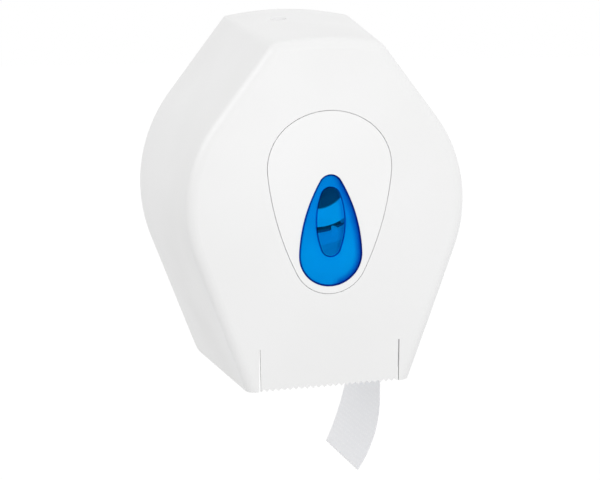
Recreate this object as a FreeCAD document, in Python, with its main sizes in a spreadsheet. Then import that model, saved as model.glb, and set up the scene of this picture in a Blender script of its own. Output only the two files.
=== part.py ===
import FreeCAD, Part
import math
import os
import Sketcher

# Toilet paper dispenser for part-used and full small jumbo rolls, mounted on a wall.
# X runs to the right as seen from the room, Y runs into the wall and Z runs up.
# The wall is the plane Y = 0, and the origin is the centre of the round outline on the wall.

doc = FreeCAD.newDocument("toilet_paper_dispenser")

# Driving dimensions, in millimetres, degrees and counts
SIZES = [
    ("side_radius", 137.5, "outline at the wall: radius of the two round sides"),
    ("upper_angle", 38.1, "lean of the upper straight sides from the vertical"),
    ("lower_angle", 19.1, "lean of the lower straight sides from the vertical"),
    ("top_height", 156.2, "top of the crowned top wall, at the wall"),
    ("crown_radius", 271.0, "radius of the crowned top wall, at the wall"),
    ("wall_corner", 4.6, "top corner radius at the wall"),
    ("front_corner", 12.0, "top corner radius at the front"),
    ("wall_draft", 9.6, "draft of every wall of the cover"),
    ("cover_depth", 160.0, "wall to the middle of the domed front"),
    ("loft_overrun", 2.0, "length by which the walls are drawn past the dome before it is cut"),
    ("loft_bottom", 205.0, "depth to which the walls are drawn before the bottom is cut"),
    ("dome_radius", 2400.0, "spherical radius of the front"),
    ("shoulder", 9.5, "round between the front and the walls"),
    ("cover_wall", 2.5, "wall thickness of the cover"),
    ("rear_gap", 1.0, "gap between the cover's rear edge and the wall"),
    ("hinge_round", 7.5, "rounding of the cover's lower rear corner about the hinge axis"),
    ("hinge_drop", 149.5, "hinge axis below the outline's centre"),
    ("bottom_rise", 4.0, "rise of the open bottom towards the front"),
    ("slit_spacing", 115.0, "between the middles of the two slits"),
    ("slit_top", 110.6, "top of the slits, below the centre"),
    ("slit_narrow", 0.8, "slit width at its top"),
    ("slit_wide", 1.6, "slit width at the tear edge"),
    ("tooth_count", 24, "teeth of the tear edge"),
    ("tooth_depth", 2.2, "depth of the teeth"),
    ("egg_top", 76.3, "top of the egg-shaped opening"),
    ("egg_crown", 54.7, "radius of the egg's top"),
    ("egg_shoulder", 42.4, "radius of the egg's shoulders"),
    ("egg_turn", 54.5, "slope of the egg's top where its shoulders begin, in degrees from upright"),
    ("egg_side", 229.0, "radius of the egg's sides"),
    ("egg_toe", 30.2, "radius of the egg's lower end"),
    ("egg_toe_drop", 38.0, "centre of the lower end below the outline's centre"),
    ("insert_groove", 0.5, "groove between the cover and the insert"),
    ("insert_gap", 0.1, "seating gap between the cover's inside and the insert's flange"),
    ("insert_flange", 1.6, "thickness of the insert's flange"),
    ("insert_margin", 4.0, "flange beyond the opening"),
    ("tab_radius", 5.5, "radius of the flange's four tabs"),
    ("stud_radius", 1.5, "studs on the cover's inside that hold the tabs"),
    ("stud_reach", 6.5, "length of the studs behind the cover's inside"),
    ("stud_gap", 0.1, "radial clearance of the tabs' holes"),
    ("upper_stud_x", 39.0, "upper studs, sideways"),
    ("upper_stud_z", 67.5, "upper studs, height"),
    ("lower_stud_x", 34.3, "lower studs, sideways"),
    ("lower_stud_z", -52.5, "lower studs, height"),
    ("clip_radius", 4.4, "push-on clips"),
    ("clip_thickness", 1.2, "push-on clips"),
    ("clip_fit", 0.03, "radial clearance of a clip on its stud"),
    ("clip_gap", 0.45, "clip behind the middle of its tab"),
    ("lens_top_radius", 9.8, "upper end of the teardrop lens"),
    ("lens_top_z", 17.5, "centre of the lens's upper end"),
    ("lens_toe_radius", 25.6, "lower end of the lens"),
    ("lens_toe_z", -36.5, "centre of the lens's lower end"),
    ("lens_side", 125.3, "radius of the lens's sides"),
    ("lens_axis_z", -17.0, "height of the top of the lens's swell"),
    ("lens_swell", 400.0, "spherical radius of the lens's outside"),
    ("lens_proud", 1.2, "lens in front of the middle of the cover's dome"),
    ("lens_floor", 2.3, "depth of the lens's seat below the middle of the dome"),
    ("lens_gap", 0.1, "clearance round and behind the lens"),
    ("lens_edge", 0.5, "round on the lens's rim"),
    ("view_end", 7.7, "end radius of the view hole"),
    ("view_side", 62.7, "side radius of the view hole"),
    ("view_top_z", 9.4, "centre of the view hole's upper end"),
    ("view_toe_z", -29.9, "centre of the view hole's lower end"),
    ("lock_x", -19.0, "lock axis, sideways"),
    ("lock_y", -57.0, "lock axis, in front of the wall"),
    ("lock_sink", 3.9, "seat of the lock's flange below the top wall's middle line"),
    ("lock_flange", 7.0, "radius of the lock's flange"),
    ("lock_flange_height", 1.4, "thickness of the lock's flange"),
    ("barrel_radius", 5.5, "radius of the lock's bush"),
    ("barrel_length", 12.8, "length of the bush below its flange"),
    ("lock_gap", 0.1, "clearance of the bush in the cover"),
    ("boss_radius", 9.5, "boss round the lock on the cover's inside"),
    ("boss_height", 8.0, "boss below the flange's seat"),
    ("nut_radius", 8.5, "ring nut of the lock"),
    ("nut_height", 3.4, "ring nut of the lock"),
    ("plug_radius", 3.5, "lock plug in the bush"),
    ("plug_head", 4.9, "head of the lock plug"),
    ("plug_head_height", 1.0, "head of the lock plug"),
    ("plug_running", 0.06, "radial running clearance of the plug"),
    ("plug_end_gap", 0.3, "end play of the plug"),
    ("key_slot_length", 5.4, "key slot"),
    ("key_slot_width", 1.3, "key slot"),
    ("key_slot_depth", 4.0, "key slot"),
    ("cam_thickness", 2.0, "lock cam"),
    ("cam_hub", 6.0, "hub radius of the lock cam"),
    ("cam_width", 6.0, "width of the cam's arm and hook"),
    ("cam_reach", 18.0, "outer face of the hook from the lock axis"),
    ("hook_thickness", 3.0, "hook of the lock cam"),
    ("hook_drop", 7.4, "hook below the cam's underside"),
    ("cam_screw_radius", 1.45, "cam screw's shank"),
    ("cam_screw_length", 6.0, "cam screw's shank above the cam"),
    ("screw_fit", 0.05, "radial clearance of the screws"),
    ("screw_head", 2.9, "head radius of the screws"),
    ("screw_head_height", 1.9, "head height of the screws"),
    ("seat_gap", 0.05, "gap under a screw's head or a seated foot"),
    ("plate_thickness", 3.0, "back plate"),
    ("plate_rim", 11.0, "depth of the back plate's rim from the wall"),
    ("rim_wall", 2.5, "thickness of the rim"),
    ("plate_gap", 1.3, "clearance between the rim and the cover"),
    ("plate_corner", 10.0, "top corner radius of the back plate"),
    ("plate_clear", 9.5, "lower edge of the back plate above the hinge axis"),
    ("mount_set_in", 67.5, "wall-screw holes, in from the outline's widest point"),
    ("mount_spacing_z", 190.0, "wall-screw holes, upwards"),
    ("mount_hole", 5.5, "diameter of the wall-screw holes"),
    ("mount_boss", 8.0, "boss radius round the wall-screw holes"),
    ("mount_boss_height", 2.5, "boss height round the wall-screw holes"),
    ("ear_set_in", 66.5, "inner face of the hinge ears, in from the outline's widest point"),
    ("ear_thickness", 5.5, "hinge ears"),
    ("ear_round", 7.0, "end radius of the hinge ears"),
    ("ear_height", 33.5, "top of the hinge ears above the hinge axis"),
    ("lug_gap", 0.5, "gap between an ear and the cover's lug"),
    ("lug_radius", 7.0, "hinge lugs on the cover's inside"),
    ("pin_radius", 2.5, "hinge pins"),
    ("pin_fit", 0.02, "radial fit of a pin in its ear"),
    ("pin_running", 0.06, "radial running clearance of a pin in its lug"),
    ("pin_reach", 6.5, "pin beyond the lug's face"),
    ("pin_stub", 0.6, "pin beyond the ear's inner face"),
    ("pin_end_gap", 0.8, "end clearance of the pin in its lug"),
    ("spindle_height", 17.5, "roll axis above the outline's centre"),
    ("spindle_radius", 9.0, "spindle"),
    ("spindle_end", 72.0, "end of the spindle's bearing length from the wall"),
    ("foot_radius", 26.0, "foot of the spindle"),
    ("foot_thickness", 4.0, "foot of the spindle"),
    ("foot_fillet", 3.0, "round between the foot and the spindle"),
    ("pad_radius", 29.0, "pad for the foot on the back plate"),
    ("pad_height", 2.0, "pad for the foot on the back plate"),
    ("foot_screws", 3, "screws in the spindle's foot"),
    ("foot_screw_circle", 18.5, "radius of the foot's screw circle"),
    ("foot_screw_length", 4.2, "screw below the foot"),
    ("neck_radius", 5.0, "neck on the spindle's end for the cap"),
    ("neck_length", 6.0, "neck on the spindle's end for the cap"),
    ("cap_radius", 13.0, "spindle cap"),
    ("cap_face", 2.0, "end wall of the spindle cap"),
    ("cap_edge", 1.5, "round on the spindle cap"),
    ("cap_fit", 0.03, "radial fit of the cap on the neck"),
    ("hub_running", 0.08, "radial running clearance of the core adaptor on the spindle"),
    ("hub_wall", 3.0, "wall of the adaptor's bearing tube"),
    ("hub_end_gap", 0.4, "end play of the core adaptor"),
    ("flange_radius", 52.0, "rear flange of the core adaptor"),
    ("flange_thickness", 3.0, "rear flange of the core adaptor"),
    ("drum_radius", 40.0, "drum of the core adaptor"),
    ("drum_wall", 2.5, "drum of the core adaptor"),
    ("drum_proud", 4.0, "drum in front of the roll"),
    ("eye_radius", 26.0, "round opening in the adaptor's front"),
    ("fin_count", 6, "fins that carry the cardboard core"),
    ("fin_thickness", 3.0, "fins that carry the cardboard core"),
    ("core_fit", 0.05, "clearance of the core on the fins and in the roll"),
    ("core_wall", 1.5, "wall of the cardboard core"),
    ("core_radius", 45.4, "outside of the cardboard core"),
    ("roll_radius", 55.2, "outside of the part-used roll"),
    ("roll_width", 95.0, "width of the paper"),
    ("roll_back", 17.0, "rear face of the roll from the wall"),
    ("roll_gap", 0.3, "gap at the roll's rear face and under the paper's loose end"),
    ("paper_thickness", 0.6, "the loose end as a soft sheet"),
    ("wrap_angle", 25.0, "stretch of the loose end that still lies on the roll"),
    ("rear_curl_start", 140.7, "where the rear edge begins to curl, below the centre"),
    ("rear_curl_radius", 271.0, "curl of the loose end's rear edge"),
    ("rear_curl_angle", 25.1, "turn of the loose end's rear edge"),
    ("front_curl_start", 177.5, "where the front edge begins to curl, below the centre"),
    ("front_curl_radius", 115.0, "curl of the loose end's front edge"),
    ("front_curl_angle", 35.0, "turn of the loose end's front edge"),
    ("keeper_drop", 26.8, "underside of the keeper's arm below the lock's seat"),
    ("keeper_thickness", 2.0, "sheet of the keeper"),
    ("keeper_width", 10.0, "width of the keeper"),
    ("keeper_leg", 30.0, "leg of the keeper on the back plate"),
    ("keeper_lip", 9.0, "height of the keeper's lip from the arm's underside"),
    ("keeper_clearance", 2.0, "gap between the lip and the closed hook"),
    ("keeper_screw_drop", 10.0, "first keeper screw below the arm"),
    ("keeper_screw_pitch", 12.0, "between the keeper's two screws"),
    ("keeper_screw_length", 2.6, "keeper screw in the back plate"),
    ("margin", 30.0, "length by which cutting shapes run clear of a piece"),
]

sheet = doc.addObject("Spreadsheet::Sheet", "Sizes")
for row, (alias, number, note) in enumerate(SIZES, start=1):
    sheet.set("A%d" % row, note)
    sheet.set("B%d" % row, str(number))
    sheet.setAlias("B%d" % row, alias)
doc.recompute()


class Size:
    """A number worked out from the sheet, kept with the expression that works it out."""

    def __init__(self, number, text):
        self.number = number
        self.text = text

    def combine(self, other, sign, number):
        return Size(number, "(%s %s %s)" % (self.text, sign, as_size(other).text))

    def __add__(self, other):
        return self.combine(other, "+", self.number + as_size(other).number)

    def __sub__(self, other):
        return self.combine(other, "-", self.number - as_size(other).number)

    def __mul__(self, other):
        return self.combine(other, "*", self.number * as_size(other).number)

    def __truediv__(self, other):
        return self.combine(other, "/", self.number / as_size(other).number)

    def __neg__(self):
        return Size(-self.number, "(0 - %s)" % self.text)


def as_size(value):
    return value if isinstance(value, Size) else Size(value, str(value))


def sine(angle):
    return Size(math.sin(math.radians(angle.number)), "sin(%s * 1 deg)" % angle.text)


def cosine(angle):
    return Size(math.cos(math.radians(angle.number)), "cos(%s * 1 deg)" % angle.text)


def tangent(angle):
    return Size(math.tan(math.radians(angle.number)), "tan(%s * 1 deg)" % angle.text)


def root(value):
    return Size(math.sqrt(value.number), "sqrt(%s)" % value.text)


class Sizes:
    """The sheet's sizes as attributes."""


size = Sizes()
for alias, number, note in SIZES:
    setattr(size, alias, Size(number, "Sizes." + alias))

ORIGIN = -1
X_AXIS = -1
Y_AXIS = -2
START = 1
END = 2
CENTRE = 3

# A face whose normal is steeper than this is level, and lengths closer than this are the same
LEVEL = 0.999
SAME = 0.01


def bind(item, name, value):
    item.setExpression(name, as_size(value).text)


def new_body(label):
    body = doc.addObject("PartDesign::Body", label)
    body.Label = label
    return body


def origin_part(body, role):
    return [item for item in body.Origin.OriginFeatures if item.Role == role][0]


class Drawing:
    """A sketch on an origin plane of a body, drawn near its place and then dimensioned from the sheet."""

    def __init__(self, body, name, plane, offset=0):
        self.body = body
        self.sketch = body.newObject("Sketcher::SketchObject", name)
        self.sketch.AttachmentSupport = [(origin_part(body, plane), "")]
        self.sketch.MapMode = "FlatFace"
        bind(self.sketch, "AttachmentOffset.Base.z", offset)

    def line(self, start, end):
        edge = Part.LineSegment(FreeCAD.Vector(*start, 0), FreeCAD.Vector(*end, 0))
        return self.sketch.addGeometry(edge, False)

    def arc(self, centre, radius, first, last):
        circle = Part.Circle(FreeCAD.Vector(*centre, 0), FreeCAD.Vector(0, 0, 1), radius)
        return self.sketch.addGeometry(Part.ArcOfCircle(circle, first, last), False)

    def rule(self, *values):
        return self.sketch.addConstraint(Sketcher.Constraint(*values))

    def dimension(self, value, kind, *places):
        index = self.rule(kind, *places, as_size(value).number)
        name = "size%d" % index
        self.sketch.renameConstraint(index, name)
        bind(self.sketch, "Constraints." + name, value)

    def angle(self, value, edge):
        index = self.rule("Angle", edge, math.radians(as_size(value).number))
        name = "size%d" % index
        self.sketch.renameConstraint(index, name)
        self.sketch.setExpression("Constraints." + name, as_size(value).text + " * 1 deg")

    def place(self, edge, point, across, up):
        self.dimension(across, "DistanceX", ORIGIN, START, edge, point)
        self.dimension(up, "DistanceY", ORIGIN, START, edge, point)

    def circle(self, across, up, radius):
        centre = FreeCAD.Vector(as_size(across).number, as_size(up).number, 0)
        shape = Part.Circle(centre, FreeCAD.Vector(0, 0, 1), as_size(radius).number)
        edge = self.sketch.addGeometry(shape, False)
        self.dimension(radius, "Radius", edge)
        self.place(edge, CENTRE, across, up)
        return edge

    def polygon(self, corners):
        points = [(as_size(across).number, as_size(up).number) for across, up in corners]
        edges = [self.line(point, points[(i + 1) % len(points)]) for i, point in enumerate(points)]
        for i, edge in enumerate(edges):
            self.rule("Coincident", edge, END, edges[(i + 1) % len(edges)], START)
            self.place(edge, START, *corners[i])

    def rectangle(self, left, low, right, high):
        self.polygon([(left, low), (right, low), (right, high), (left, high)])


def feature(kind, drawing, name, **settings):
    """A feature of the drawing's body, made from the drawing; sizes among the settings are bound."""
    item = drawing.body.newObject("PartDesign::" + kind, name)
    item.Profile = drawing.sketch
    for key, value in settings.items():
        if isinstance(value, Size):
            bind(item, key, value)
        else:
            setattr(item, key, value)
    doc.recompute()
    drawing.sketch.Visibility = False
    return item


def turned(kind, drawing, name, axis="Y_Axis"):
    return feature(kind, drawing, name, ReferenceAxis=(origin_part(drawing.body, axis), [""]), Angle=360.0)


# Places that follow from the sizes of the outline, the hinge and the top wall
lean_in = tangent(size.wall_draft)
front_plane = size.cover_depth + size.loft_overrun
hinge_y = -(size.rear_gap + size.hinge_round)
hinge_z = -size.hinge_drop
lock_seat = size.top_height + size.lock_y * lean_in - size.lock_sink
keeper_base = lock_seat - size.keeper_drop
plate_bottom = size.hinge_drop - size.plate_clear
ear_inner = size.side_radius - size.ear_set_in
ear_top = hinge_z + size.ear_height
mount_spacing_x = (size.side_radius - size.mount_set_in) * 2


def outline(drawing, inset, corner, bottom):
    """Crowned top, round corners, leaning sides with a round middle, flat bottom, drawn in by an inset."""
    side = size.side_radius - inset
    crown = size.crown_radius - inset
    crown_drop = size.crown_radius - size.top_height
    upper = math.radians(size.upper_angle.number)
    lower = math.radians(size.lower_angle.number)
    low = as_size(bottom).number
    radius = as_size(corner).number

    # The corner's centre is one radius inside the upper side's line and inside the crown
    across, rise = math.cos(upper), math.sin(upper)
    foot = side.number - radius
    along = crown_drop.number * across
    half = math.sqrt((crown.number - radius) ** 2 - (foot + crown_drop.number * rise) ** 2)
    reach = half - along
    centre = (foot * across - reach * rise, foot * rise + reach * across)
    lean = math.atan2(centre[1] + crown_drop.number, centre[0])
    corner_end = (centre[0] + radius * across, centre[1] + radius * rise)
    side_top = (side.number * across, side.number * rise)
    side_end = (side.number * math.cos(lower), -side.number * math.sin(lower))
    foot_x = side_end[0] - (low + side_end[1]) * math.tan(lower)

    def other(point):
        return (-point[0], point[1])

    top = drawing.arc((0, -crown_drop.number), crown.number, lean, math.pi - lean)
    right = [
        drawing.arc(centre, radius, upper, lean),
        drawing.line(side_top, corner_end),
        drawing.arc((0, 0), side.number, -lower, upper),
        drawing.line((foot_x, -low), side_end),
    ]
    left = [
        drawing.arc(other(centre), radius, math.pi - lean, math.pi - upper),
        drawing.line(other(side_top), other(corner_end)),
        drawing.arc((0, 0), side.number, math.pi - upper, math.pi + lower),
        drawing.line((-foot_x, -low), other(side_end)),
    ]
    base = drawing.line((-foot_x, -low), (foot_x, -low))

    # Smooth joints down the right side and down the left side
    drawing.rule("Tangent", top, START, right[0], END)
    drawing.rule("Tangent", right[0], START, right[1], END)
    drawing.rule("Tangent", right[1], START, right[2], END)
    drawing.rule("Tangent", right[2], START, right[3], END)
    drawing.rule("Coincident", right[3], START, base, END)
    drawing.rule("Tangent", top, END, left[0], START)
    drawing.rule("Tangent", left[0], END, left[1], END)
    drawing.rule("Tangent", left[1], START, left[2], START)
    drawing.rule("Tangent", left[2], END, left[3], END)
    drawing.rule("Coincident", left[3], START, base, START)
    for edges in (right, left):
        drawing.rule("Coincident", edges[2], CENTRE, ORIGIN, START)
    drawing.rule("PointOnObject", top, CENTRE, Y_AXIS)
    drawing.rule("Horizontal", base)
    drawing.rule("Equal", right[0], left[0])
    drawing.rule("Equal", right[2], left[2])
    drawing.dimension(crown_drop, "DistanceY", top, CENTRE, ORIGIN, START)
    drawing.dimension(crown, "Radius", top)
    drawing.dimension(corner, "Radius", right[0])
    drawing.dimension(side, "Radius", right[2])
    drawing.dimension(bottom, "DistanceY", base, START, ORIGIN, START)
    drawing.angle(as_size(90) + size.upper_angle, right[1])
    drawing.angle(as_size(90) - size.upper_angle, left[1])
    drawing.angle(as_size(90) - size.lower_angle, right[3])
    drawing.angle(as_size(90) + size.lower_angle, left[3])


def dome_cut(body, name, depth, radius, beyond):
    """Cuts what lies beyond a sphere whose top is on the body's Y axis, that far in front of its origin."""
    reach = size.loft_bottom + size.margin
    top = -as_size(depth)
    centre = top + radius
    far = top + beyond
    drawing = Drawing(body, name + "_sketch", "YZ_Plane")
    bulge = math.asin(reach.number / as_size(radius).number)
    edge_y = centre.number - as_size(radius).number * math.cos(bulge)
    arc = drawing.arc((centre.number, 0), as_size(radius).number, math.pi - bulge, math.pi)
    rim = drawing.line((edge_y, reach.number), (far.number, reach.number))
    back = drawing.line((far.number, reach.number), (far.number, 0))
    axis = drawing.line((far.number, 0), (top.number, 0))
    drawing.rule("Coincident", arc, START, rim, START)
    drawing.rule("Coincident", rim, END, back, START)
    drawing.rule("Coincident", back, END, axis, START)
    drawing.rule("Coincident", axis, END, arc, END)
    drawing.rule("PointOnObject", arc, CENTRE, X_AXIS)
    drawing.rule("PointOnObject", arc, END, X_AXIS)
    drawing.rule("Horizontal", rim)
    drawing.rule("Vertical", back)
    drawing.rule("Horizontal", axis)
    drawing.dimension(radius, "Radius", arc)
    drawing.dimension(centre, "DistanceX", ORIGIN, START, arc, CENTRE)
    drawing.dimension(reach, "DistanceY", ORIGIN, START, rim, START)
    drawing.dimension(far, "DistanceX", ORIGIN, START, back, END)
    return turned("Groove", drawing, name)


def round_rim(body, name, domed, radius):
    """Rounds the edges between a domed face and the sides that lead up to it, but not a level bottom."""
    faces = domed.Shape.Faces
    dome = [face for face in faces if isinstance(face.Surface, Part.Sphere)][0]
    sides = [face for face in faces if not face.isSame(dome) and abs(face.normalAt(0, 0).z) < LEVEL]
    borders = [edge for face in sides for edge in face.Edges]
    names = []
    for index, edge in enumerate(domed.Shape.Edges, start=1):
        on_dome = any(edge.isSame(other) for other in dome.Edges)
        if on_dome and any(edge.isSame(other) for other in borders):
            names.append("Edge%d" % index)
    rounding = body.newObject("PartDesign::Fillet", name)
    rounding.Base = (domed, names)
    bind(rounding, "Radius", radius)
    doc.recompute()


def drop_outline(drawing, top_radius, top_z, toe_radius, toe_z, side_radius):
    """A closed drop: two round ends on the vertical axis joined by two large arcs."""
    r_top, r_toe, r_side = (as_size(v).number for v in (top_radius, toe_radius, side_radius))
    z_top, z_toe = as_size(top_z).number, as_size(toe_z).number
    to_top, to_toe = r_side - r_top, r_side - r_toe
    up = (to_toe ** 2 - to_top ** 2 + z_top ** 2 - z_toe ** 2) / (2 * (z_top - z_toe))
    out = math.sqrt(to_top ** 2 - (z_top - up) ** 2)
    high = math.atan2(z_top - up, out)
    low = math.atan2(z_toe - up, out)
    top = drawing.arc((0, z_top), r_top, high, math.pi - high)
    toe = drawing.arc((0, z_toe), r_toe, math.pi - low, 2 * math.pi + low)
    right = drawing.arc((-out, up), r_side, low, high)
    left = drawing.arc((out, up), r_side, math.pi - high, math.pi - low)
    drawing.rule("Tangent", top, START, right, END)
    drawing.rule("Tangent", right, START, toe, END)
    drawing.rule("Tangent", toe, START, left, END)
    drawing.rule("Tangent", left, START, top, END)
    for end, place, radius in ((top, top_z, top_radius), (toe, toe_z, toe_radius)):
        drawing.rule("PointOnObject", end, CENTRE, Y_AXIS)
        drawing.dimension(place, "DistanceY", ORIGIN, START, end, CENTRE)
        drawing.dimension(radius, "Radius", end)
    drawing.rule("Equal", right, left)
    drawing.dimension(side_radius, "Radius", right)


def egg_outline(drawing, grow):
    """The egg, grown or shrunk all round: flat-topped with round shoulders, long sides and a round toe."""
    crown = size.egg_crown + grow
    shoulder = size.egg_shoulder + grow
    side = size.egg_side + grow
    toe = size.egg_toe + grow
    crown_z = size.egg_top - size.egg_crown
    shoulder_z = crown_z + (size.egg_crown - size.egg_shoulder) * sine(size.egg_turn)
    shoulder_x = (crown.number - shoulder.number) * cosine(size.egg_turn).number
    wide = shoulder_z.number
    toe_z = -size.egg_toe_drop.number

    # The side's centre lies at known distances from the shoulder's and the toe's centres
    from_shoulder = side.number - shoulder.number
    from_toe = side.number - toe.number
    span = math.hypot(shoulder_x, wide - toe_z)
    along = (from_toe ** 2 - from_shoulder ** 2 + span ** 2) / (2 * span)
    off = math.sqrt(from_toe ** 2 - along ** 2)
    ux, uz = shoulder_x / span, (wide - toe_z) / span
    side_x, side_z = along * ux - off * uz, toe_z + along * uz + off * ux

    crown_turn = math.radians(size.egg_turn.number)
    shoulder_turn = math.atan2(wide - side_z, shoulder_x - side_x)
    toe_turn = math.atan2(toe_z - side_z, -side_x)
    half = math.pi
    top = drawing.arc((0, crown_z.number), crown.number, crown_turn, half - crown_turn)
    right = drawing.arc((shoulder_x, wide), shoulder.number, shoulder_turn, crown_turn)
    right_side = drawing.arc((side_x, side_z), side.number, toe_turn, shoulder_turn)
    end = drawing.arc((0, toe_z), toe.number, half - toe_turn, 2 * half + toe_turn)
    left_side = drawing.arc((-side_x, side_z), side.number, half - shoulder_turn, half - toe_turn)
    left = drawing.arc((-shoulder_x, wide), shoulder.number, half - crown_turn, half - shoulder_turn)
    drawing.rule("Tangent", top, START, right, END)
    drawing.rule("Tangent", right, START, right_side, END)
    drawing.rule("Tangent", right_side, START, end, END)
    drawing.rule("Tangent", end, START, left_side, END)
    drawing.rule("Tangent", left_side, START, left, END)
    drawing.rule("Tangent", left, START, top, END)
    for arc, place, radius in ((top, crown_z, crown), (end, -size.egg_toe_drop, toe)):
        drawing.rule("PointOnObject", arc, CENTRE, Y_AXIS)
        drawing.dimension(place, "DistanceY", ORIGIN, START, arc, CENTRE)
        drawing.dimension(radius, "Radius", arc)
    drawing.rule("Equal", right, left)
    drawing.rule("Equal", right_side, left_side)
    drawing.dimension(shoulder, "Radius", right)
    drawing.dimension(side, "Radius", right_side)
    for arc in (right, left):
        drawing.dimension(shoulder_z, "DistanceY", ORIGIN, START, arc, CENTRE)


STUDS = [
    (size.upper_stud_x, size.upper_stud_z),
    (-size.upper_stud_x, size.upper_stud_z),
    (size.lower_stud_x, size.lower_stud_z),
    (-size.lower_stud_x, size.lower_stud_z),
]


def drafted_block(body, inset):
    """The cover's outer form, or with an inset its hollow: drafted walls, domed front, round shoulders."""
    at_wall = Drawing(body, body.Name + "_wall_sketch", "XZ_Plane")
    outline(at_wall, as_size(inset), size.wall_corner - inset, size.loft_bottom)
    at_front = Drawing(body, body.Name + "_front_sketch", "XZ_Plane", front_plane)
    outline(at_front, front_plane * lean_in + inset, size.front_corner - inset, size.loft_bottom)
    feature("AdditiveLoft", at_wall, body.Name + "_walls", Sections=[at_front.sketch], Ruled=True)
    at_front.sketch.Visibility = False
    dome = dome_cut(
        body, body.Name + "_dome", size.cover_depth - inset, size.dome_radius - inset, -size.margin)
    round_rim(body, body.Name + "_shoulder", dome, size.shoulder - inset)


def make_front_cover():
    """Moulded shell with a lock boss, hinge lugs and studs inside, trimmed at the wall, hinge and bottom."""
    cover = new_body("front_cover")
    hollow = new_body("cover_hollow")
    drafted_block(cover, as_size(0))
    drafted_block(hollow, size.cover_wall)

    # What the hollow leaves standing: the boss for the lock, the hinge lugs and the studs for the insert
    boss = Drawing(hollow, "boss_sketch", "XY_Plane", lock_seat + size.margin)
    boss.circle(size.lock_x, size.lock_y, size.boss_radius)
    feature("Pocket", boss, "lock_boss", Length=size.margin + size.boss_height)
    lug_face = ear_inner + size.ear_thickness + size.lug_gap
    for name, reach, turn in (("right", size.side_radius, False), ("left", -size.side_radius, True)):
        lug = Drawing(hollow, name + "_lug_sketch", "YZ_Plane", reach)
        lug.circle(hinge_y, hinge_z, size.lug_radius)
        feature("Pocket", lug, name + "_lug", Length=size.side_radius - lug_face, Reversed=turn)
    studs = Drawing(hollow, "studs_sketch", "XZ_Plane", front_plane)
    for across, up in STUDS:
        studs.circle(across, up, size.stud_radius)
    rear_of_studs = size.cover_depth - size.cover_wall - size.stud_reach
    feature("Pocket", studs, "studs", Length=front_plane - rear_of_studs)
    emptied = cover.newObject("PartDesign::Boolean", "emptied")
    emptied.Type = "Cut"
    emptied.addObjects([hollow])
    doc.recompute()

    trim_rear_and_bottom(cover)
    cut_front_openings(cover)
    cut_lock_and_hinge_holes(cover, lug_face)
    return cover


def trim_rear_and_bottom(cover):
    """Rear edge parallel to the wall, lower rear corner round the hinge axis, bottom rising to the front."""
    rise = math.radians(size.bottom_rise.number)
    far_front = -(front_plane + size.margin)
    far_low = -(size.loft_bottom + size.margin)
    far_rear = size.margin
    far_high = size.top_height + size.margin
    radius = size.hinge_round.number
    centre = (hinge_y.number, hinge_z.number)
    foot = (centre[0] - radius * math.sin(rise), centre[1] - radius * math.cos(rise))
    front_z = foot[1] + (foot[0] - far_front.number) * math.tan(rise)
    edge = centre[0] + radius
    drawing = Drawing(cover, "trim_sketch", "YZ_Plane")
    rear = drawing.line((edge, far_high.number), (edge, centre[1]))
    corner = drawing.arc(centre, radius, 1.5 * math.pi - rise, 2 * math.pi)
    bottom = drawing.line((far_front.number, front_z), foot)
    front = drawing.line((far_front.number, front_z), (far_front.number, far_low.number))
    floor = drawing.line((far_front.number, far_low.number), (far_rear.number, far_low.number))
    back = drawing.line((far_rear.number, far_low.number), (far_rear.number, far_high.number))
    roof = drawing.line((far_rear.number, far_high.number), (edge, far_high.number))
    drawing.rule("Tangent", rear, END, corner, END)
    drawing.rule("Tangent", corner, START, bottom, END)
    drawing.rule("Coincident", bottom, START, front, START)
    drawing.rule("Coincident", front, END, floor, START)
    drawing.rule("Coincident", floor, END, back, START)
    drawing.rule("Coincident", back, END, roof, START)
    drawing.rule("Coincident", roof, END, rear, START)
    for upright in (rear, front, back):
        drawing.rule("Vertical", upright)
    for level in (floor, roof):
        drawing.rule("Horizontal", level)
    drawing.dimension(size.hinge_round, "Radius", corner)
    drawing.place(corner, CENTRE, hinge_y, hinge_z)
    drawing.angle(-size.bottom_rise, bottom)
    drawing.place(floor, START, far_front, far_low)
    drawing.place(roof, START, far_rear, far_high)
    feature("Pocket", drawing, "trim", Length=(size.side_radius + size.margin) * 2, Midplane=True)


# The tear edge, where the dome has fallen back at the bottom of the front wall
dome_fall = size.dome_radius - root(size.dome_radius * size.dome_radius - size.hinge_drop * size.hinge_drop)
edge_out = size.cover_depth - dome_fall + hinge_y
edge_z = hinge_z - size.hinge_round / cosine(size.bottom_rise) + edge_out * tangent(size.bottom_rise)


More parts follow.
